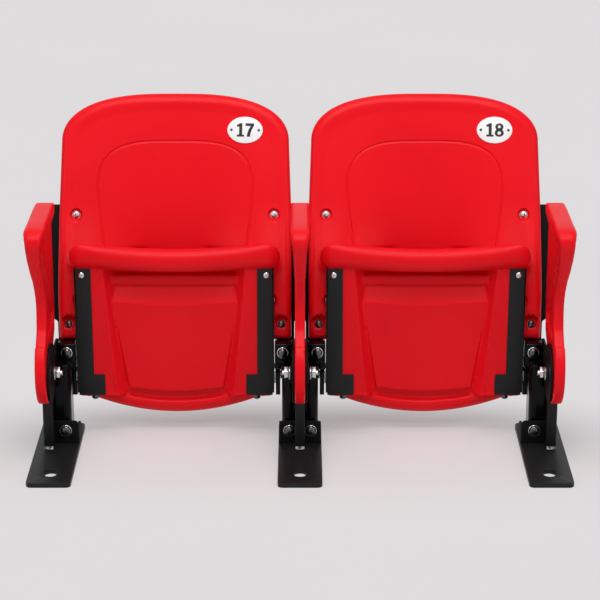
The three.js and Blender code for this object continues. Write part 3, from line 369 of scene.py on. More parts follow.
def fused(bm, voxel, passes):
    """One skin round overlapping closed shapes, its corners worn round like a moulding's."""
    bmesh.ops.recalc_face_normals(bm, faces=bm.faces)
    piece = placed("fused", as_mesh(bm, "fused"))
    remesh = piece.modifiers.new("skin", "REMESH")
    remesh.mode = "VOXEL"
    remesh.voxel_size = voxel
    worn = piece.modifiers.new("worn", "SMOOTH")
    worn.factor = 0.5
    worn.iterations = passes
    bpy.context.view_layer.update()
    made = bmesh.new()
    made.from_mesh(bpy.data.meshes.new_from_object(
        piece.evaluated_get(bpy.context.evaluated_depsgraph_get())))
    bpy.data.objects.remove(piece)
    return made


# Back: one closed skin of rings, from the middle of the face out to the edge and round to the rear

BACK_LOW = box("back_left")[0].z
WING_END = BACK_LOW - 9  # the wings reach down behind the heads
BACK_HIGH = box("back_left")[1].z - 1
BACK_HEIGHT = BACK_HIGH - BACK_LOW
BACK_HALF = (box("back_left")[1].x - box("back_left")[0].x) / 2
BACK_WALL = 26  # from the front face to the rear face
BACK_CORNER = 88  # height of the rounded top corners
SHOULDER = BACK_HIGH - BACK_CORNER
HEEL = 5  # radius of the bottom corners
CORNER_RISE, CORNER_SWEEP = 2.1, 3  # powers of the curve over the top
TAPER_SHARE = 0.978  # width at the shoulder over the width below
WING_Y, WING_TOP = 50, 300  # the wings stand upright beside the folded seat
KNEE_Y, KNEE_Z = 122, 442
RIM_HIGH = 203.7  # front of the rim at the top edge
PANEL_LOW, PANEL_HIGH = 112, 208  # front of the middle panel at the bottom and top edge
PANEL_CURVE = 0.65  # share of the panel's depth that grows with the square
WING_INNER, WING_STEP = BACK_HALF - 57, 10
SHELF_LOW, SHELF_RISE = 345, 30  # here the wings spread into the upper back
SPREAD_SHARE = 0.25  # how far in they start there
ROLL = BACK_WALL / 2  # radius of the rolled edge
BEAD = 24  # width of the bead that runs round the face
BEAD_END = BEAD + 8  # the face has sunk by here
DISH = 1.8  # the face inside the bead lies this much deeper
LINE_WIDTH, LINE_DEPTH = 5.0, 2.8  # the moulded line round the inner panel
LINE_TOP_SHARE, LINE_LOW_SHARE = 0.808, 0.13
LINE_WIDE_SHARE, LINE_NARROW_SHARE = 0.73, 0.545
LINE_POWER = 2 / 0.57  # how square the line's corners are
UPPER_BOLT = (BACK_HALF - 35, 442)
MIDDLE_BOLT = (BACK_HALF - 42, 286)
LOWER_BOLT = (BACK_HALF - 20, 235)
STRAP_GAP, STRAP_KNEE = 3.4, 258  # behind the back, and where the straps start to lean
ROUND_COUNT = 320  # places round each ring
CORE_SHARE = 0.47  # height of the rings' middle
EDGE_STEPS = (0.3, 0.9, 1.8, 3, 4.4, 6.2, 8.2, 10.5, 13)
RIM_STEPS = (30, 28, 26, 24, 22.5, 20.5, 18, 15.5, *EDGE_STEPS[::-1])
LINE_STEPS = (-0.5, -0.25, 0.05, 0.3, 0.5)
LINE_GUARD = LINE_WIDTH / 2 + 1.5  # rings that keep the line's relief to itself


def back_half(z):
    centre = BACK_LOW + BACK_HEIGHT / 2
    straight = mix(BACK_HALF, BACK_HALF * TAPER_SHARE, (z - centre) / (SHOULDER - centre))
    rise = min(max((z - SHOULDER) / BACK_CORNER, 0), 1)
    return straight * (1 - rise ** CORNER_RISE) ** (1 / CORNER_SWEEP)


def back_top(x):
    share = min(abs(x) / (BACK_HALF * TAPER_SHARE), 1)
    return SHOULDER + BACK_CORNER * (1 - share ** CORNER_SWEEP) ** (1 / CORNER_RISE)


def wing_line(z):
    if z < KNEE_Z:
        return mix(WING_Y, KNEE_Y, (z - WING_TOP) / (KNEE_Z - WING_TOP))
    return mix(KNEE_Y, RIM_HIGH, (z - KNEE_Z) / (BACK_HIGH - KNEE_Z))


def wing_depth(z):
    """The wings' front face, bent in easy curves."""
    return sum(wing_line(z + 9 * k) for k in range(-3, 4)) / 7


def face_depth(x, z, shift=0.0):
    """Front of the back before its bead, line and recesses."""
    share = (z - BACK_LOW) / BACK_HEIGHT
    curved = (1 - PANEL_CURVE) * share + PANEL_CURVE * share * share
    wing = wing_depth(z)
    rise = smooth((z - SHELF_LOW) / SHELF_RISE)
    moved = shift * (1 - rise)
    start = mix(WING_INNER, WING_INNER * SPREAD_SHARE, rise) + moved
    end = WING_INNER + WING_STEP + moved
    return mix(max(mix(PANEL_LOW, PANEL_HIGH, curved), wing), wing,
               smooth((abs(x) - start) / (end - start)))


def edge_distance(x, z):
    """How far a place on the face is inside the outline."""
    level = back_half(z) - abs(x)
    upright = back_top(x) - z
    slant = level * upright / hypot(level, upright) if level > 0 and upright > 0 else 0
    low = z - WING_END
    side = slant if z > SHOULDER - BACK_CORNER else level
    if side < HEEL and low < HEEL:
        return HEEL - hypot(HEEL - side, HEEL - low)
    return min(side, low)


def back_outline():
    """Places evenly spaced along the edge, from the middle of the bottom."""
    points = [(x, WING_END) for x in range(0, int(BACK_HALF - HEEL), 2)]
    points += arc((BACK_HALF - HEEL, WING_END + HEEL), HEEL, -90, 0, 12)
    steps = 120
    points += [(back_half(z), z) for z in
               [WING_END + HEEL + (SHOULDER - WING_END - HEEL) * k / steps
                for k in range(1, steps + 1)]]
    for k in range(1, 4 * steps + 1):
        turn = pi / 2 * k / (4 * steps)
        points.append((BACK_HALF * TAPER_SHARE * cos(turn) ** (2 / CORNER_SWEEP),
                       SHOULDER + BACK_CORNER * sin(turn) ** (2 / CORNER_RISE)))
    lengths = [0.0]
    for a, b in zip(points, points[1:]):
        lengths.append(lengths[-1] + hypot(b[0] - a[0], b[1] - a[1]))
    half = []
    i = 0
    for k in range(ROUND_COUNT // 2 + 1):
        want = lengths[-1] * k / (ROUND_COUNT // 2)
        while i + 2 < len(points) and lengths[i + 1] < want:
            i += 1
        share = (want - lengths[i]) / (lengths[i + 1] - lengths[i])
        half.append(tuple(mix(a, b, share) for a, b in zip(points[i], points[i + 1])))
    return half + [(-x, z) for x, z in half[-2:0:-1]]


def line_value(x, z):
    """Below 1 inside the moulded line, above 1 outside it."""
    low = BACK_LOW + BACK_HEIGHT * LINE_LOW_SHARE
    high = BACK_LOW + BACK_HEIGHT * LINE_TOP_SHARE
    wide = BACK_HALF * mix(LINE_NARROW_SHARE, LINE_WIDE_SHARE, (z - low) / (high - low))
    upright = abs(z - (low + high) / 2) / ((high - low) / 2)
    return (abs(x) / wide) ** LINE_POWER + upright ** LINE_POWER


def seek(start, end, passed, steps=26):
    """The place between two points where a test turns true."""
    low, high = 0.0, 1.0
    for _ in range(steps):
        share = (low + high) / 2
        if passed(*[a + (b - a) * share for a, b in zip(start, end)]):
            high = share
        else:
            low = share
    return tuple(a + (b - a) * high for a, b in zip(start, end))


def edge_fall(d):
    """How far the rolled edge and the bead lie behind the crest at a distance from the edge."""
    if d < ROLL:
        return ROLL - sqrt(max(ROLL ** 2 - (ROLL - d) ** 2, 0))
    return DISH * smooth((d - ROLL) / (BEAD_END - ROLL))


RECESS, SINK = 12.5, 6  # round recess of the upper and middle bolts
RECESS_SLOPE, RECESS_RIM = 3.4, 0.7  # width of its wall, and height of the ring round it
MARK_UNDER, MARK_RADIUS, MARK_DEPTH = 12, 7.5, 0.9  # curved mark under the lower bolt
SCOOP_HALF, SCOOP_TOP, SCOOP_LOW, SCOOP_SINK = 13.5, 254, 225, 19


def recess_depth(x, z):
    """Recesses at the bolts: round ones, and a scoop over the lower bolt with its mark below."""
    sunk = 0.0
    for u, v in (UPPER_BOLT, MIDDLE_BOLT):
        away = hypot(abs(x) - u, z - v)
        sunk = max(sunk, SINK * (1 - smooth((away - RECESS + 3) / RECESS_SLOPE)))
        if away > RECESS:
            sunk -= RECESS_RIM * max(0, 1 - abs(away - RECESS - 2.2) / 1.8)
    u, v = LOWER_BOLT
    du = abs(abs(x) - u)
    taper = SCOOP_HALF - 0.28 * max(0, v + 8 - z) - 0.9 * max(0, z - SCOOP_TOP + 8)
    slope = (z - SCOOP_LOW) / (SCOOP_TOP - 6 - SCOOP_LOW)
    inside = min(taper - du, SCOOP_TOP - z)
    if inside > 0 and slope > 0:
        sunk = max(sunk, SCOOP_SINK * min(slope, 1) * smooth(inside / 3.2))
    if z < v - 10:
        mark = abs(hypot(du, z - v + MARK_UNDER) - MARK_RADIUS)
        sunk += MARK_DEPTH * max(0, 1 - mark / 1.4)
    return sunk


def strap_front(z):
    low = max(WING_Y + BACK_WALL, box("head_left_seat_l")[1].y) + 0.6
    knee = KNEE_Y + BACK_WALL + STRAP_GAP
    if z < KNEE_Z:
        return mix(low, knee, (z - STRAP_KNEE) / (KNEE_Z - STRAP_KNEE))
    return wing_line(z) + BACK_WALL + STRAP_GAP


def boss_reach(x, z, rear):
    """The bosses behind the bolts, out to the straps."""
    for u, v in (UPPER_BOLT, LOWER_BOLT):
        away = hypot(abs(x) - u, z - v)
        if away < RECESS + 2:
            seat = strap_front(v - RECESS) - 0.4
            return mix(seat, rear, smooth((away - RECESS + 1) / 2.5))
    return rear


def back_skin():
    outline = back_outline()
    core = (0.0, BACK_LOW + BACK_HEIGHT * CORE_SHARE)
    line = [seek(core, place, lambda x, z: line_value(x, z) > 1) for place in outline]
    sections = []

    def level(w, places):
        sections.append([Vector((x, w, z)) for x, z in places])

    def inset(d):
        """Places on the spokes that are this far inside the outline."""
        return [seek(place, core, lambda x, z: edge_distance(x, z) > d) for place in outline]

    def between(a, b, count, w, last):
        """Rings on the way from one to another."""
        for k in range(1, last + 1):
            level(w, [[mix(c, d, k / count) for c, d in zip(p, q)] for p, q in zip(a, b)])

    def shifted(offset):
        """The line moved outwards along the spokes."""
        moved = []
        for p, q in zip(line, outline):
            reach = hypot(q[0] - p[0], q[1] - p[1])
            moved.append(tuple(a + (b - a) * offset / reach for a, b in zip(p, q)))
        return moved

    between([core] * ROUND_COUNT, shifted(-LINE_GUARD), 22, 0, 22)
    for offset in LINE_STEPS:
        level(0, shifted(LINE_WIDTH * offset))
    level(0, shifted(LINE_GUARD))
    between(shifted(LINE_GUARD), inset(BEAD_END), 10, 0, 10)
    for d in RIM_STEPS:
        level(0, inset(d))
    level(0.5, outline)
    for d in EDGE_STEPS:
        level(1, inset(d))
    between([(x, z) for x, _, z in sections[-1]], [core] * ROUND_COUNT, 24, 1, 23)
    bm = bmesh.new()
    rings(bm, sections)
    for u, v in (UPPER_BOLT, MIDDLE_BOLT, LOWER_BOLT):
        for side in (-1, 1):
            near = [edge for edge in bm.edges if all(
                hypot(vert.co.x - side * u, vert.co.z - v) < RECESS + 6
                and edge_distance(vert.co.x, vert.co.z) > 1 for vert in edge.verts)]
            bmesh.ops.subdivide_edges(bm, edges=near, cuts=3, use_grid_fill=True)
    for vert in bm.verts:
        x, w, z = vert.co
        d = edge_distance(x, z)
        front = face_depth(x, z) + edge_fall(d)
        rear = face_depth(x, z, WING_STEP) + BACK_WALL - min(edge_fall(min(d, ROLL)), ROLL)
        if w < 0.5:
            if abs(line_value(x, z) - 1) < 0.2:
                front += line_groove(x, z)
            front += recess_depth(x, z)
        else:
            rear = boss_reach(x, z, rear)
        vert.co.y = mix(front, rear, w)
    return bm


def line_groove(x, z):
    """Depth of the moulded line near the line: full in its middle, none at its edges."""
    step = 0.5
    value = line_value(x, z)
    slope = hypot(line_value(x + step, z) - value, line_value(x, z + step) - value) / step
    away = abs(value - 1) / max(slope, 1e-6)
    return LINE_DEPTH * (1 - smooth((away - LINE_WIDTH * 0.18) / (LINE_WIDTH * 0.32)))


def backs():
    skin = back_skin()
    for seat, at in SEATS.items():
        settle(skin.copy(), f"back_shell_{seat}", RED, at=at, crease=60,
               replaces=[f"back_{seat}"])
    skin.free()


# Seat pan, folded up. Its shapes are fused into one moulding.

SEAT_HALF = WING_INNER - 2
SEAT_FRONT, SEAT_FLOOR, SEAT_REAR = 41.3, 66, 98
SEAT_LOW, SEAT_RISE = 38, 36  # lowest point of the rear edge and its rise at the ends
RAIL_LOW, RAIL_HIGH = 85.5, 363
RAIL_CREST = (143, 116)  # inner edge of the rails at the top and at the bottom
RAIL_FOOT = (119, 89)
LEDGE_HALF, LEDGE_DEPTH = 194.5, 7  # strip beside each bracket
PANEL_FRONT = 56
PANEL_SIDE = (124, 95.5)  # half the main panel's width at the top and at the bottom
BAND_LOW, BAND_HIGH = 280, 322  # the sloped band over the main panel
BAND_SINK = 11  # the floor lies this much deeper over the band
HOLLOW_HALF, HOLLOW_SINK = 98, 7  # shallow hollow under the main panel
RIB_LOW, RIB_HIGH, RIB_HALF = 315, 336, 131  # bar under the lip
LIP_LOW, LIP_HIGH, LIP_HALF = 348, 402, 211
LIP_LIFT, LIP_LIFT_LOW = 15, 11  # rise of the lip's top and bottom edge towards its ends
LIP_NOSE, LIP_NOSE_END = 21, 35  # front of the lip at its middle and at its ends
LIP_REAR, LIP_REAR_END = 92, 66
LIP_FRONT_POWER, LIP_POWER = 0.95, 0.74  # how round the lip is; below 1 is squarer
LIP_FALL = 0.75  # how far the side that is sat on falls away to its middle
SEAT_VOXEL, SEAT_PASSES = 2.1, 8  # fineness of the moulding, and how often it is worn


def draft(bm, front_outline, rear_outline, front, rear, width=0.0):
    """A block whose front and rear outlines differ."""
    made = bmesh.new()
    rings(made, [[Vector((x, front, z)) for x, z in front_outline],
                 [Vector((x, rear, z)) for x, z in rear_outline]])
    if width:
        soften(made, width, segments=3, angle=35)
    join(bm, made)


def seat_edge(x):
    """Height of the rear edge of the pan."""
    share = min(abs(x) / SEAT_HALF, 1)
    return SEAT_LOW + SEAT_RISE * share ** 2 + 26 * max(0, (share - 0.93) / 0.07) ** 2


def seat_shell(bm):
    """The sitting shell: stations across the seat, each a closed loop up the rear and down."""
    sections = []
    count = 60
    for k in range(count + 1):
        x = -SEAT_HALF + 2 * SEAT_HALF * k / count
        share = abs(x) / SEAT_HALF
        pinch = 1 - sqrt(max(1 - max((share - 0.94) / 0.06, 0) ** 2, 0))
        low = seat_edge(x)
        dish = 11 * (1 - share ** 2)
        front, rear = SEAT_FLOOR + 6 * pinch, SEAT_REAR - dish - 14 * pinch
        hem = 61 + 12 * pinch
        hollow = HOLLOW_SINK * smooth((HOLLOW_HALF - abs(x)) / 8)
        profile = [(front + BAND_SINK, RAIL_HIGH), (front + BAND_SINK, 300), (front, 270),
                   (front, 120), (front + hollow, 108), (front + hollow, low + 33),
                   (hem + 1.5, low + 28), (hem, low + 22), (hem + 3, low + 12),
                   (hem + 10, low + 3), (hem + 18, low),
                   (hem + 26, low + 2), (SEAT_REAR - 1, low + 12),
                   (SEAT_REAR - dish * 0.2, low + 30),
                   (rear + dish * 0.3, low + 70), (rear, 170), (rear, 260), (rear, RAIL_HIGH)]
        sections.append([Vector((x, y, z)) for y, z in profile])
    rings(bm, sections)


def curved_edge(half, ends, centre, steps=24):
    """Points across from +half to -half on an easy curve between two heights."""
    shares = [1 - 2 * k / steps for k in range(steps + 1)]
    return [(half * share, mix(centre, ends, share ** 2)) for share in shares]


def end_round(inset, radius):
    """From 1 at an end to 0 at one radius inside it, on a quarter of a circle."""
    return 1 - sqrt(max(1 - max(1 - inset / radius, 0) ** 2, 0))


def seat_lip(bm):
    sections = []
    count = 90
    for k in range(count + 1):
        wide = -cos(pi * k / count)
        wide = wide * 0.35 + (-1 + 2 * k / count) * 0.65
        x = LIP_HALF * wide
        inset = LIP_HALF - abs(x)
        bow = 1 - wide * wide
        top = LIP_HIGH + LIP_LIFT * (1 - bow) - 40 * end_round(inset, 30)
        low = LIP_LOW + LIP_LIFT_LOW * (1 - bow) + 14 * end_round(inset, 12)
        y0 = mix(LIP_NOSE_END, LIP_NOSE, bow) + 15 * end_round(inset, 22)
        y1 = mix(LIP_REAR_END, LIP_REAR, smooth(inset / 90))
        cy, cz, hy, hz = (y0 + y1) / 2, (top + low) / 2, (y1 - y0) / 2, (top - low) / 2
        section = []
        for i in range(48):
            c, s = cos(2 * pi * i / 48), sin(2 * pi * i / 48)
            power = LIP_FRONT_POWER if s > 0 and c < 0 else LIP_POWER
            y = cy + hy * abs(c) ** power * (1 if c > 0 else -1)
            rise = hz * abs(s) ** power * (1 if s > 0 else -1)
            fall = LIP_FALL * smooth((y - y0) / (y1 - y0)) if rise > 0 else 0
            section.append(Vector((x, y, cz + rise * (1 - fall))))
        sections.append(section)
    rings(bm, sections)


def seat_body():
    bm = bmesh.new()
    seat_shell(bm)
    for side in (-1, 1):
        crest, foot = ([(side * x, z) for x, z in ((high, RAIL_HIGH), (SEAT_HALF, RAIL_HIGH),
                                                   (SEAT_HALF, end), (low, end))]
                       for (high, low), end in ((RAIL_CREST, RAIL_LOW + 2),
                                                (RAIL_FOOT, RAIL_LOW)))
        draft(bm, crest, foot, SEAT_FRONT, SEAT_FLOOR + 14, width=3.5)
        ledge = sorted((side * (SEAT_HALF - 14), side * LEDGE_HALF))
        prism(bm, "y", rectangle(*ledge, RAIL_LOW, RAIL_HIGH, 6), SEAT_FRONT,
              SEAT_FRONT + LEDGE_DEPTH)
    high, low = PANEL_SIDE
    draft(bm,
          curved_edge(high, BAND_LOW, BAND_LOW - 6.5) + [(0.2 - high, BAND_LOW - 3)]
          + curved_edge(low, 99.5, 91)[::-1] + [(high - 0.2, BAND_LOW - 3)],
          curved_edge(high - 5, BAND_HIGH, BAND_HIGH - 2) + [(-high - 6, BAND_LOW)]
          + curved_edge(low + 4, 99, 90.5)[::-1] + [(high + 6, BAND_LOW)],
          PANEL_FRONT, SEAT_FLOOR + 12, width=1.2)
    half = [(RIB_HALF + 2, RIB_HIGH), (RIB_HALF + 4, RIB_HIGH - 8), (RIB_HALF - 8, RIB_LOW)]
    rib = rounded(half + [(-x, z) for x, z in half[::-1]], 5)
    block(4, ("y", rib, PANEL_FRONT + 6, SEAT_FLOOR + 16), segments=4, angle=50, onto=bm)
    seat_lip(bm)
    return fused(bm, SEAT_VOXEL, SEAT_PASSES)


def seat_pans():
    body = seat_body()
    for seat, at in SEATS.items():
        settle(body.copy(), f"seat_shell_{seat}", RED, at=at, body=f"seat_{seat}", crease=180,
               replaces=[f"seat_pan_{seat}"])
    body.free()


# Arm: flat panel with a round hub, a recess in each face, and a pad swept over the nose

ARM_HALF = 10
ARM_TOP = box("arm_centre")[1].z - 2
ARM_NOSE = -box("arm_centre")[0].y
ARM_REAR = 54
ARM_HUB, ARM_HUB_RADIUS = (-70, 195), 77
ARM_WEB = 7.4  # depth of the recess in each face
PAD_HALF, PAD_DEPTH, PAD_ROUND_SHARE = 20, 34, 0.42
ARM_VOXEL, ARM_PASSES = 1.5, 12  # as for the seat
ARM_SPAN = ARM_TOP - ARM_HUB[1]
ARM_FRONT_SHARES = [(0.80, 0.69), (0.62, 0.54), (0.535, 0.455), (0.52, 0.385), (0.56, 0.27),
                    (0.66, 0.205), (0.73, 0.165)]
RECESS_FRONT_SHARES = [(0.72, 0.87), (0.70, 0.79), (0.60, 0.68), (0.46, 0.56), (0.39, 0.46),
                       (0.38, 0.39), (0.42, 0.28), (0.46, 0.17)]
# Forward and up shares, tilt, width and depth shares of the pad's sections
PAD_STATION_SHARES = [
    (-0.28, 0.996, 0, 0.9, 0.52), (-0.24, 0.998, 0, 0.94, 0.6), (-0.10, 1.0, 0, 0.97, 0.66),
    (0.03, 1.0, 0, 0.99, 0.72), (0.35, 1.0, 0, 1, 0.86),
    (0.66, 1.0, 3, 1, 0.93), (0.86, 0.992, 24, 1, 0.96), (0.965, 0.965, 53, 0.88, 1.15),
    (1.0, 0.925, 70, 0.78, 1.17), (0.985, 0.87, 92, 0.71, 1.045), (0.925, 0.80, 108, 0.64, 0.88),
    (0.84, 0.725, 118, 0.59, 0.74), (0.74, 0.635, 122, 0.54, 0.6),
]


def arm_place(share):
    return (-ARM_NOSE * share[0], ARM_HUB[1] + ARM_SPAN * share[1])


def pad_ring(half, depth):
    return rectangle(-half, half, -depth, 0, min(half, depth / 2) * PAD_ROUND_SHARE, 4)


def arm_body():
    bm = bmesh.new()
    pad_low = ARM_TOP - PAD_DEPTH * 0.55
    front = [arm_place(share) for share in ARM_FRONT_SHARES]
    join_angle = atan2(front[-1][1] - ARM_HUB[1], front[-1][0] - ARM_HUB[0])
    outline = [(-ARM_NOSE * 0.86, pad_low), *through(front)]
    outline += arc(ARM_HUB, ARM_HUB_RADIUS, join_angle * 180 / pi, 315, 40)
    outline += [(-17, 172), (8, 204), *through([(ARM_REAR * 0.78, 228), (ARM_REAR, 284),
                                                (ARM_REAR, 380), (ARM_REAR, pad_low)], 5)]
    recess = [*through([arm_place(share) for share in RECESS_FRONT_SHARES]),
              arm_place(RECESS_FRONT_SHARES[-1]),
              (ARM_REAR - 14, arm_place(RECESS_FRONT_SHARES[-1])[1]), (ARM_REAR - 9, 400),
              (ARM_REAR - 8, 330), (ARM_REAR - 10, 262)]
    prism(bm, "x", outline, ARM_WEB - ARM_HALF, ARM_HALF - ARM_WEB)
    prism(bm, "x", outline, -ARM_HALF, ARM_HALF, [recess])
    sections = []
    for reach, height, tilt, wide, deep in PAD_STATION_SHARES:
        y, z = arm_place((reach, height))
        away = Vector((0, -sin(radians(tilt)), cos(radians(tilt))))
        sections.append([Vector((x, y, z)) + away * out
                         for x, out in pad_ring(PAD_HALF * wide, PAD_DEPTH * deep)])
    fine = [list(ring) for ring in zip(*(through(track, 4) for track in zip(*sections)))]
    rings(bm, fine + [sections[-1]])
    return fused(bm, ARM_VOXEL, ARM_PASSES)


# How far the end arms' noses lean out, by share of height
NOSE_LEAN = [(0.50, 0), (0.635, 1.5), (0.725, 3), (0.80, 3.5), (0.87, 3), (0.965, 1.5), (1.0, 0)]


def nose_lean(y, z):
    height = (z - ARM_HUB[1]) / ARM_SPAN
    for (a, first), (b, last) in zip(NOSE_LEAN, NOSE_LEAN[1:]):
        if a <= height <= b:
            lean = mix(first, last, smooth((height - a) / (b - a)))
            return lean * smooth((-y / ARM_NOSE - 0.5) / 0.3)
    return 0.0


def arms():
    body = arm_body()
    for name, at in STANDARDS.items():
        arm = body.copy()
        for vert in arm.verts:
            vert.co.x += OUTWARD[name] * nose_lean(vert.co.y, vert.co.z)
        settle(arm, f"arm_moulding_{name}", RED, at=at, crease=180, replaces=[f"arm_{name}"])
    body.free()


# Steelwork of a standard

PLATE = box("base_plate_centre")
PLATE_THICK = 9
PLATE_MORE = 20  # the photographed plates reach this much further back
SLOT = (25, 35, -173)  # width, length, and place along the plate
SHOE_FRONT, SHOE_TOP, SHOE_WALL = -22, 57, 4.4
SHOE_END, SHOE_CENTRE = (58, 10 - SHOE_WALL), (42, 0.2)  # outer and inner side
SHOE_BOLT = 36  # height of its bolt


def base_plates():
    half = (PLATE[1].x - PLATE[0].x) / 2
    width, length, place = SLOT
    slot = rectangle(-width / 2, width / 2, place - length / 2, place + length / 2,
                     width / 2 - 0.01, 10)
    for name in STANDARDS:
        node = f"base_plate_{name}"
        low, high = box(node)
        plate = rectangle(-half, half, low.y, high.y + PLATE_MORE, 10, 8)
        settle(block(1.4, ("z", plate, 0, PLATE_THICK, [slot]), segments=3),
               f"foot_plate_{name}", SATIN, at=middle(node), replaces=[node])


def shoes():
    foot, rear, edge = PLATE_THICK - 0.3, SHOE_FRONT + SHOE_WALL, SHOE_FRONT + 0.4
    for corner in CORNERS:
        wide, start = SHOE_CENTRE if corner[1] == "centre" else SHOE_END
        wall = rounded([(start, foot), (wide, foot), (wide, SHOE_TOP), (start, SHOE_TOP)],
                       [0, 0, 9, 1], 8)
        flank = rounded([(edge, foot), (52, foot), (52, 18), (20, SHOE_TOP - 16),
                         (edge, SHOE_TOP - 9)], [0, 0, 3, 9, 0], 5)
        fit(block(1.3, ("y", wall, SHOE_FRONT, rear), ("x", flank, wide - SHOE_WALL, wide),
                  segments=3), corner, SHADED_SATIN, "shoe_{}")
        place = (start + (wide - start) * 0.5, SHOE_FRONT, SHOE_BOLT)
        capped_bolt(corner, "shoe_bolt_{}", place, 10.2, 6.5)


def dome(bm, centre, radius, height, collar=1.4):
    """A domed bolt head facing the front, on a thin collar."""
    profile = [(0, -height)]
    for k in range(1, 9):
        turn = pi / 2 * k / 8
        profile.append((radius * sin(turn), -collar - (height - collar) * cos(turn)))
    profile += [(radius + 0.7, -collar), (radius + 0.7, -0.2), (radius - 0.4, 0.4), (0, 0.4)]
    turned(bm, "y", centre, profile)


def capped_bolt(corner, name, place, radius, height):
    """A black domed head on a bright washer that shows as a thin ring."""
    cap = bmesh.new()
    dome(cap, place, radius, height)
    fit(cap, corner, DARK_ZINC, name + "_cap")
    ring = bmesh.new()
    turned(ring, "y", place, [(radius - 2, -0.9), (radius + 1.2, -0.9), (radius + 1.8, -0.4),
                              (radius + 1.8, 0.3), (radius - 2, 0.3)], closed=True)
    fit(ring, corner, ZINC, name + "_washer")


POST_FRONT, POST_REAR, POST_HALF, POST_TOP = -47.3, -22.3, 9.5, 119
SPINE_REACH, SPINE_LOW, SPINE_HALF = -84, 157, 3  # the spine runs up inside the arm
# The weld at the post's toe: ahead of its front and above the plate
TOE = [(-7, 0), (1, 0), (1, 4.5), (-0.5, 4.5), (-4, 2)]


def posts():
    bar = rectangle(-POST_HALF, POST_HALF, POST_FRONT, POST_REAR, 1.5, 3)
    toe = [(POST_FRONT + y, PLATE_THICK + z) for y, z in TOE]
    for name, at in STANDARDS.items():
        top = box(f"post_{name}")[1].z
        spine = [(POST_REAR, POST_TOP - 2), (POST_REAR, top), (SPINE_REACH, top),
                 (SPINE_REACH, SPINE_LOW), (POST_FRONT, POST_TOP - 2)]
        settle(block(0.9, ("z", bar, PLATE_THICK, POST_TOP),
                     ("x", spine, -SPINE_HALF, SPINE_HALF)),
               f"post_bar_{name}", SATIN, at=at, replaces=[f"post_{name}"])
        settle(block(0.8, ("x", toe, -POST_HALF, POST_HALF)), f"post_weld_{name}", DARK_ZINC,
               at=at)


COLUMN_RADIUS = 15
COLUMN_INNER = -2  # the end columns reach in under the arm


def column_span(corner):
    """Inner and outer side of a column, away from the middle of its standard."""
    tag, standard, side = corner
    return sorted(side * (place.x - STANDARDS[standard]) for place in box(f"column_{tag}"))


def columns():
    for corner in CORNERS:
        low, high = box(f"column_{corner[0]}")
        inner, outer = column_span(corner)
        if corner[1] != "centre":
            inner = min(inner, COLUMN_INNER)
        radius = min((outer - inner) / 2 - 0.01, COLUMN_RADIUS)
        tube = rectangle(inner, outer, low.y, high.y, radius, 20)
        fit(block(0.8, ("z", tube, low.z, high.z)), corner, GLOSS, "column_tube_{}", "column_{}")


HEAD_LOW, HEAD_TOP = 165, 205
HEAD_STEP, HEAD_STEP_TOP = 44, 197  # behind this the head is lower, under the wing
HEAD_IN, HEAD_OUT, HEAD_FRONT, HEAD_REAR = 15.6, 50.5, 18, 76
HEAD_BOLT = (34.6, 187)
PIVOT = (70, 125)
EAR, EAR_THICK = 18, 9  # radius round the pivot
SKIRT_LOW = 147  # lower edge of the skirt that covers the lever's eye


def heads():
    casting = rounded([(HEAD_FRONT, HEAD_LOW), (HEAD_FRONT, HEAD_TOP), (HEAD_STEP, HEAD_TOP),
                       (HEAD_STEP, HEAD_STEP_TOP), (HEAD_REAR, HEAD_STEP_TOP),
                       (HEAD_REAR, HEAD_LOW)], [0, 3, 3, 2, 3, 0], 4)
    ear = [(56, HEAD_LOW + 2), (56, PIVOT[1] - 6), *arc(PIVOT, EAR, 218, 380, 20),
           (HEAD_REAR, HEAD_LOW + 2)]
    skirt = [(24, SKIRT_LOW + 6), (30, SKIRT_LOW), (HEAD_REAR - 4, SKIRT_LOW),
             (HEAD_REAR - 4, HEAD_LOW + 6), (24, HEAD_LOW + 6)]
    u, v = HEAD_BOLT
    for corner in CORNERS:
        outer = column_span(corner)[1]
        bm = block(3, ("x", casting, HEAD_IN, HEAD_OUT), segments=4)
        cap = rectangle(HEAD_IN, outer + 1, -16, HEAD_REAR - 2, 14, 10)
        block(1.6, ("z", cap, HEAD_LOW, HEAD_LOW + 7), segments=3, onto=bm)
        block(1.2, ("x", ear, HEAD_IN, HEAD_IN + EAR_THICK), onto=bm)
        block(1.5, ("x", skirt, outer + 1, HEAD_OUT), onto=bm)
        fit(bm, corner, GLOSS, "head_casting_{}", "head_{}")
        capped_bolt(corner, "head_front_{}", (u, HEAD_FRONT, v), 9.6, 7)
        bolt = bmesh.new()
        rear = box(f"head_bolt_{corner[0]}")[1].y
        prism(bolt, "y", hexagon(u, v, 11), rear - 9, rear - 0.6)
        disc(bolt, "y", (u, 0, v), 6, HEAD_REAR, rear)
        fit(bolt, corner, ZINC, "head_screw_{}", "head_bolt_{}")


def hexagon(u, v, radius):
    return arc((u, v), radius, 30, 330, 5)


HUB = (-68, 177)
CLAMP_IN, CLAMP_OUT = 10.3, 15.3  # sides of the plate that clamps the arm


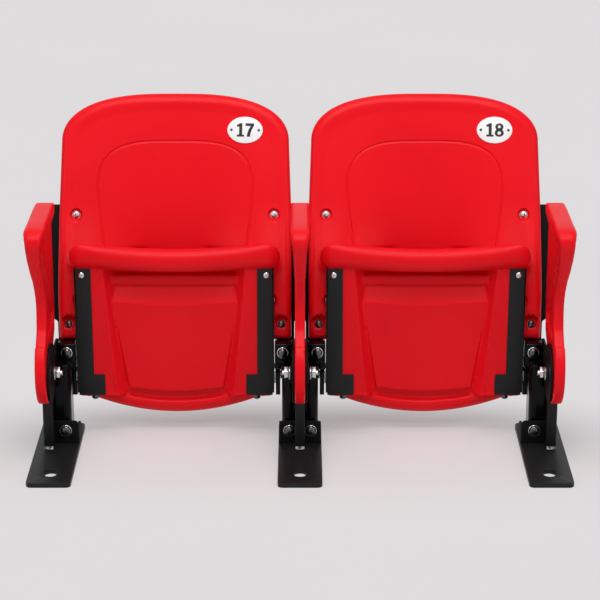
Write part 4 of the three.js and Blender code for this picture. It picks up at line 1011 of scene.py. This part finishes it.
def side_plates():
    outline = arc(HUB, 58, 33.5, 334, 60) + [
        (-16.9, 165.3), (HEAD_REAR, 165.3), (HEAD_REAR, HEAD_STEP_TOP),
        (HEAD_STEP + 2, HEAD_STEP_TOP), (HEAD_STEP, 209)]
    for corner in CORNERS:
        bm = block(1.2, ("x", outline, CLAMP_IN, CLAMP_OUT), segments=3)
        disc(bm, "x", (0, *HUB), 21, CLAMP_OUT - 1, CLAMP_OUT + 2.5, (1, 0.8))
        turned(bm, "x", (0, HUB[0] + 42, 199.4), [
            (0, CLAMP_OUT - 1), (6, CLAMP_OUT - 1), (6, CLAMP_OUT + 1), (4.6, CLAMP_OUT + 2.2),
            (0, CLAMP_OUT + 2.4)], steps=28)
        fit(bm, corner, SHADED_SATIN, "clamp_plate_{}", "side_plate_{}")


def hub_bolts():
    centre = (0, *HUB)
    washer, nut, stud = 18.1, 21.5, 35.5  # each one's place along the bolt
    for name, at in STANDARDS.items():
        bm = bmesh.new()
        for _, standard, side in CORNERS:
            if standard != name:
                continue
            part = bmesh.new()
            disc(part, "x", centre, 14, washer, washer + 3.4, (0.8, 0.8))
            prism(part, "x", hexagon(*HUB, 12.5), nut, nut + 9.5)
            soften(part, 0.8, angle=50)
            disc(part, "x", centre, 5.4, nut + 9, stud, (1, 1))
            part.transform(Matrix.Diagonal((side, 1, 1, 1)))
            join(bm, part)
        if name != "centre":
            cap = bmesh.new()
            turned(cap, "x", centre, [(0, 5), (13, 5), (13, 9.2), (12.2, 10), (6.2, 10),
                                      (5.2, 8), (0, 8)])
            cap.transform(Matrix.Diagonal((OUTWARD[name], 1, 1, 1)))
            join(bm, cap)
        settle(bm, f"hub_nut_{name}", ZINC, at=at, replaces=[f"hub_bolt_{name}"])


BRACKET, BRACKET_THICK = 52, 3  # from the middle of the standard to the bracket
DISC_THICK, LEVER_THICK, WIRE = 2.4, 9, 1.3  # wire is the spring's radius
PLAY = 0.3  # gap between parts that turn past each other


def pivots():
    """Pivot pin with its disc, stop lever and return spring."""
    y, z = PIVOT
    face = BRACKET - PLAY
    lever = face - DISC_THICK - PLAY
    nut = BRACKET + BRACKET_THICK + PLAY
    foot = z - 46
    bar = arc((y, z), 13.7, 0, 180, 20) + arc((y - 2, foot + 9), 9, 180, 360, 16)
    for corner in CORNERS:
        bm = bmesh.new()
        turned(bm, "x", (0, y, z), [(0, HEAD_IN - 2), (6, HEAD_IN - 2), (6, face - DISC_THICK),
                                    (20.4, face - DISC_THICK), (21, face - 1.8),
                                    (21, face - 0.5), (20.4, face), (0, face)])
        prism(bm, "x", hexagon(y, z, 10.2), nut, nut + 4)
        fit(bm, corner, ZINC, "pivot_{}", "pivot_pin_{}")
        fit(block(1.1, ("x", bar, lever - LEVER_THICK, lever), segments=3), corner, SATIN,
            "stop_{}", "stop_lever_{}")
        coil = bmesh.new()
        spring(coil, HEAD_IN + EAR_THICK + PLAY + WIRE, lever - LEVER_THICK - PLAY - WIRE)
        fit(coil, corner, SPRING, "spring_{}", "return_spring_{}")


def spring(bm, start, end, radius=10.5, curls=4, steps=36, sides=10):
    """Closed-section wire wound round the pin, with a straight leg at each end."""
    y, z = PIVOT
    total = curls * steps
    path = []
    for i in range(total + 1):
        angle = -pi / 2 + i / steps * 2 * pi
        path.append(Vector((start + (end - start) * i / total, y + radius * cos(angle),
                            z + radius * sin(angle))))
    path.insert(0, path[0] - Vector((0, 12, 0)))
    path.append(path[-1] + Vector((0, 12, 0)))
    sections = []
    for i, place in enumerate(path):
        along = (path[min(i + 1, len(path) - 1)] - path[max(i - 1, 0)]).normalized()
        up = along.cross(Vector((1, 0, 0))).normalized()
        out = up.cross(along).normalized()
        sections.append([place + up * WIRE * cos(2 * pi * k / sides)
                         + out * WIRE * sin(2 * pi * k / sides) for k in range(sides)])
    rings(bm, sections)


STRAP_EDGE, STRAP_END_EDGE, STRAP_NECK, STRAP_FLARE = 1, -4, 11.5, 229
STRAP_HALF, STRAP_THICK = 10.5, 5  # half a strap's width at the bolts


def straps():
    """Plates behind the backs' edges: a neck over the head that widens towards the arm."""
    lower, upper = (PITCH / 2 - bolt[0] + STRAP_HALF for bolt in (LOWER_BOLT, UPPER_BOLT))
    flared = STRAP_FLARE + STRAP_NECK - STRAP_EDGE
    for corner in CORNERS:
        low, high = box(f"back_strap_{corner[0]}")
        edge = STRAP_EDGE if corner[1] == "centre" else STRAP_END_EDGE
        face = rounded([(STRAP_NECK, low.z), (STRAP_NECK, STRAP_FLARE), (edge, flared),
                        (edge, high.z), (upper, high.z), (upper, KNEE_Z), (lower, WING_TOP),
                        (lower, low.z)], [1, 6, 6, 8, 8, 30, 30, 1], 5)
        bm = block(1.0, ("y", face, 0, STRAP_THICK), angle=50)
        for z in (STRAP_KNEE, KNEE_Z):
            bmesh.ops.bisect_plane(bm, geom=bm.verts[:] + bm.edges[:] + bm.faces[:],
                                   plane_co=(0, 0, z), plane_no=(0, 0, 1), dist=0.001)
        for vert in bm.verts:
            vert.co.y += strap_front(vert.co.z)
        fit(bm, corner, SHADED_SATIN, "strap_{}", "back_strap_{}")


def brackets():
    """Folded steel bracket, with its screw at the top and the black bolt under its tab."""
    front = SEAT_FRONT - PLAY - BRACKET_THICK
    low, top, tab_top = 92, 356, 132.6
    near, far, tab = BRACKET, BRACKET + 34, BRACKET + 56
    face = rounded([(near + 3, low), (tab + 0.6, low), (tab, tab_top), (far, tab_top),
                    (far - 1, top), (near, top)], [4, 1.5, 1.5, 1.5, 1.2, 1.2], 4)
    flange = rounded([(front, low + 2), (front, top), (front + 10, top),
                      (front + 10, 212), (PIVOT[0] + 15, PIVOT[1] + 52),
                      (PIVOT[0] + 21.6, PIVOT[1]), (PIVOT[0] + 14.4, PIVOT[1] - 20),
                      (front + 20, low)], [0, 0, 2, 14, 12, 12, 12, 3], 4)
    fold = rectangle(near + 3, tab, front, front + 20, 1.5, 3)
    for corner in CORNERS:
        body = body_of(f"seat_bracket_{corner[0]}")
        fit(block(0.9, ("y", face, front, front + BRACKET_THICK),
                  ("x", flange, near, near + BRACKET_THICK), ("z", fold, low - 3, low),
                  segments=3), corner, SATIN, "hinge_bracket_{}", "seat_bracket_{}")
        screw = bmesh.new()
        pan_head(screw, (near + 14.5, front, top - 13), 6.6, 2.8)
        fit(screw, corner, ZINC, "bracket_screw_{}", body=body)
        nut = bmesh.new()
        turned(nut, "z", (near + 35, front + 8, low - 3), [
            (0, 0.4), (7.6, 0.4), (7.6, -5.4), (6.9, -7.8), (5, -9.6), (0, -10.5)], steps=32)
        fit(nut, corner, DARK_ZINC, "bracket_foot_{}", body=body)


def pan_head(bm, centre, radius, height):
    """A pan head with a cross recess, facing the front."""
    profile = [(0, -height * 0.55), (radius * 0.2, -height * 0.55), (radius * 0.32, -height * 0.98)]
    for k in range(1, 7):
        turn = pi / 2 * k / 6
        profile.append((radius * (0.32 + 0.68 * sin(turn)), -height * cos(turn) * 0.98))
    profile += [(radius, 0.4), (0, 0.4)]
    turned(bm, "y", centre, profile, steps=32)
    for turn in (0.25, 0.75):
        bar = bmesh.new()
        prism(bar, "y", rectangle(-radius * 0.62, radius * 0.62, -0.55, 0.55, 0.3, 2),
              -height * 1.04, -height * 0.4)
        bar.transform(Matrix.Translation(centre) @ Matrix.Rotation(pi * turn, 4, "Y"))
        join(bm, bar)


def back_bolts():
    levels = {"upper": (UPPER_BOLT, SINK, ZINC), "lower": (LOWER_BOLT, 4, DARK_ZINC),
              "middle": (MIDDLE_BOLT, SINK, ZINC)}
    for seat, at in SEATS.items():
        for side, letter in ((-1, "l"), (1, "r")):
            for level, ((x, z), sunk, material) in levels.items():
                bm = bmesh.new()
                front = face_depth(x, z) + sunk
                dome(bm, (x, front, z), 7.2, 5.2, 1.2)
                nodes = [] if level == "middle" else [f"back_bolt_{seat}_{level}_{letter}"]
                for node in nodes:
                    rear = box(node)[1].y
                    prism(bm, "y", hexagon(x, z, 8), rear - 6, rear - 0.6)
                    disc(bm, "y", (x, 0, z), 4, front, rear, steps=24)
                settle(bm, f"back_screw_{seat}_{level}_{letter}", material,
                       at=at, side=side, replaces=nodes)


# Number plates

NUMBER_X, NUMBER_Z = 140, 602
NUMBER_HALF_WIDE, NUMBER_HALF_HIGH, NUMBER_THICK = 35.5, 26.5, 1.2
DIGIT_HEIGHT = 27


def digit_outlines(digit):
    """Solid and hollow outlines of a bold digit in a unit box."""
    if digit == "1":
        return [[(0.04, 0), (0.58, 0), (0.58, 0.15), (0.44, 0.15), (0.44, 1), (0.25, 1),
                 (0.19, 0.93), (0.04, 0.88), (0.04, 0.73), (0.21, 0.75), (0.21, 0.15),
                 (0.04, 0.15)]], []
    if digit == "7":
        return [[(0.0, 1), (0.63, 1), (0.63, 0.84), (0.46, 0.5), (0.37, 0.2), (0.35, 0),
                 (0.1, 0), (0.13, 0.2), (0.22, 0.5), (0.39, 0.8), (0.0, 0.8)]], []
    bowls = [(0.735, 0.265, 0.30), (0.28, 0.28, 0.335)]  # middle height, half height, half width
    right = []
    for k in range(1, 40):
        v = 0.5 - 0.5 * cos(pi * k / 40)
        reach = [wide * sqrt(1 - ((v - mid) / high) ** 2) if abs(v - mid) < high else 0
                 for mid, high, wide in bowls]
        right.append((max(*reach, 0.24 if abs(v - 0.52) < 0.1 else 0), v))
    outer = [(0.32, 0)] + [(0.32 + u, v) for u, v in right] + [(0.32, 1)]
    outer += [(0.32 - u, v) for u, v in right[::-1]]
    holes = [[(0.32 + wide * cos(turn), mid + high * sin(turn))
              for turn in [2 * pi * k / 24 for k in range(24)]]
             for mid, high, wide in ((0.745, 0.105, 0.105), (0.275, 0.125, 0.13))]
    return [outer], holes


def number_plates():
    for (seat, at), text in zip(SEATS.items(), ("17", "18")):
        step = 4
        depth = face_depth(NUMBER_X, NUMBER_Z) + DISH
        up = Vector((0, face_depth(NUMBER_X, NUMBER_Z + step) + DISH - depth, step)).normalized()
        across = Vector((step, face_depth(NUMBER_X + step, NUMBER_Z) + DISH - depth, 0))
        across.normalize()
        out = across.cross(up).normalized()
        up = out.cross(across)
        turn = Matrix((across, -out, up)).transposed().to_4x4()
        place = Matrix.Translation((NUMBER_X, depth, NUMBER_Z)) @ turn
        oval = [(NUMBER_HALF_WIDE * u, NUMBER_HALF_HIGH * v)
                for u, v in arc((0, 0), 1, 0, 357, 119)]
        bm = block(0.5, ("y", oval, -NUMBER_THICK - 0.4, 0.6), segments=3, angle=50)
        bm.transform(place)
        settle(bm, f"number_plate_{seat}", ENAMEL, at=at)
        ink = bmesh.new()
        width = 0.62 * DIGIT_HEIGHT
        for i, digit in enumerate(text):
            solids, holes = digit_outlines(digit)
            start = (i - 1) * (width + 1.6) + 0.8
            scaled = [[(start + u * DIGIT_HEIGHT, (v - 0.5) * DIGIT_HEIGHT) for u, v in points]
                      for points in solids + holes]
            prism(ink, "y", scaled[0], -NUMBER_THICK - 0.65, -NUMBER_THICK - 0.3, scaled[1:])
        ink.transform(place)
        settle(ink, f"number_ink_{seat}", INK, at=at, crease=30)
        for side, letter in ((-1, "l"), (1, "r")):
            screw = bmesh.new()
            pan_head(screw, (side * 27.5, -NUMBER_THICK - 0.4, 0), 2.7, 1.3)
            screw.transform(place)
            settle(screw, f"number_screw_{seat}_{letter}", DARK_ZINC, at=at)


# Stage, lights and camera

FLOOR_COLOUR = "#dfdcdd"
SHADOW_OVAL, SHADOW_SHIFT = (0.8, 2.6, 1), (0, 0.13, 0)  # where the floor takes shadows
SHADOW_NEAR, SHADOW_FAR, SHADOW_LEFT = 0.35, 0.95, 0.35  # fading, and share of glow within
WORLD_LIGHT = 0.25  # even light from all round; the rays that see the world see the floor's tone
SOFTBOXES = {  # place, size and power
    "top_box": ((0, -0.5, 3.3), (2.6, 1.6), 38),
    "left_box": ((-2.8, -2.2, 1.6), (0.8, 2.2), 14),
    "right_box": ((2.8, -2.2, 1.6), (0.8, 2.2), 14),
    "front_box": ((0, -3.3, 3.9), (2.8, 1.0), 52),
    "high_box": ((0, -1.9, 4.2), (2.6, 0.8), 44),
}
LIGHT_AIM = (0, 0, 0.4)


def stage():
    bm = bmesh.new()
    bmesh.ops.create_grid(bm, x_segments=1, y_segments=1, size=30)
    floor = placed("floor", as_mesh(bm, "floor"))
    # Seamless studio paper: matt, pale and even, with the object's shadow near its feet
    paper = bpy.data.materials.new("studio_paper")
    tree = fresh_tree(paper)
    place = add(tree, "TexCoord")
    cloud = add(tree, "TexNoise", [(place, "Object", "Vector")], Scale=1.5)
    shade = add(tree, "MapRange", [(cloud, "Fac", "Value")], To_Min=0.99, To_Max=1.01)
    tint = add(tree, "VectorMath", [(shade, "Result", "Scale")], operation="SCALE")
    tint.inputs[0].default_value = linear(FLOOR_COLOUR)[:3]
    matt = add(tree, "BsdfDiffuse", [(tint, "Vector", "Color")])
    glow = add(tree, "Emission", [(tint, "Vector", "Color")], Strength=1.0)
    oval = add(tree, "VectorMath", [(place, "Object", "Vector")], operation="MULTIPLY_ADD")
    oval.inputs[1].default_value = SHADOW_OVAL
    oval.inputs[2].default_value = SHADOW_SHIFT
    reach = add(tree, "VectorMath", [(oval, "Vector", "Vector")], operation="LENGTH")
    far = add(tree, "MapRange", [(reach, "Value", "Value")],
              interpolation_type="SMOOTHSTEP", From_Min=SHADOW_NEAR, From_Max=SHADOW_FAR,
              To_Min=SHADOW_LEFT, To_Max=1.0)
    ray = add(tree, "LightPath")
    seen = add(tree, "Math", [(ray, "Is Camera Ray", 0), (ray, "Is Glossy Ray", 1)],
               operation="ADD")
    share = add(tree, "Math", [(seen, "Value", 0), (far, "Result", 1)], operation="MULTIPLY")
    both = add(tree, "MixShader", [(share, "Value", "Fac"), (matt, "BSDF", 1),
                                   (glow, "Emission", 2)])
    add(tree, "OutputMaterial", [(both, "Shader", "Surface")])
    floor.data.materials.append(paper)


def softbox(name, place, size, power):
    light = bpy.data.lights.new(name, "AREA")
    light.shape = "RECTANGLE"
    light.size, light.size_y = size
    light.energy = power
    lamp = placed(name, light)
    lamp.location = place
    lamp.rotation_euler = (Vector(LIGHT_AIM) - Vector(place)).to_track_quat("-Z", "Y").to_euler()


def lights():
    world = bpy.data.worlds.new("studio")
    bpy.context.scene.world = world
    tree = fresh_tree(world)
    light = add(tree, "Background", Color=(1, 1, 1, 1), Strength=WORLD_LIGHT)
    seen = add(tree, "Background", Color=linear(FLOOR_COLOUR), Strength=1.0)
    ray = add(tree, "LightPath")
    share = add(tree, "Math", [(ray, "Is Camera Ray", 0), (ray, "Is Glossy Ray", 1)],
                operation="ADD")
    both = add(tree, "MixShader", [(share, "Value", "Fac"), (light, "Background", 1),
                                   (seen, "Background", 2)])
    add(tree, "OutputWorld", [(both, "Shader", "Surface")])
    for name, (place, size, power) in SOFTBOXES.items():
        softbox(name, place, size, power)


CAMERA_PLACE = (0, -4.044, 1.668)
CAMERA_TILT = 71.352  # degrees up from straight down
CAMERA_LENS = 130


def camera():
    data = bpy.data.cameras.new("camera")
    data.lens = CAMERA_LENS
    data.sensor_width = 36
    view = placed("camera", data)
    view.location = CAMERA_PLACE
    view.rotation_euler = (radians(CAMERA_TILT), 0, 0)
    bpy.context.scene.camera = view


bpy.context.scene.view_settings.view_transform = "Standard"
for make in (camera, stage, lights, backs, seat_pans, arms, base_plates, shoes, posts, columns,
             heads, side_plates, hub_bolts, pivots, straps, brackets, back_bolts, number_plates):
    make()
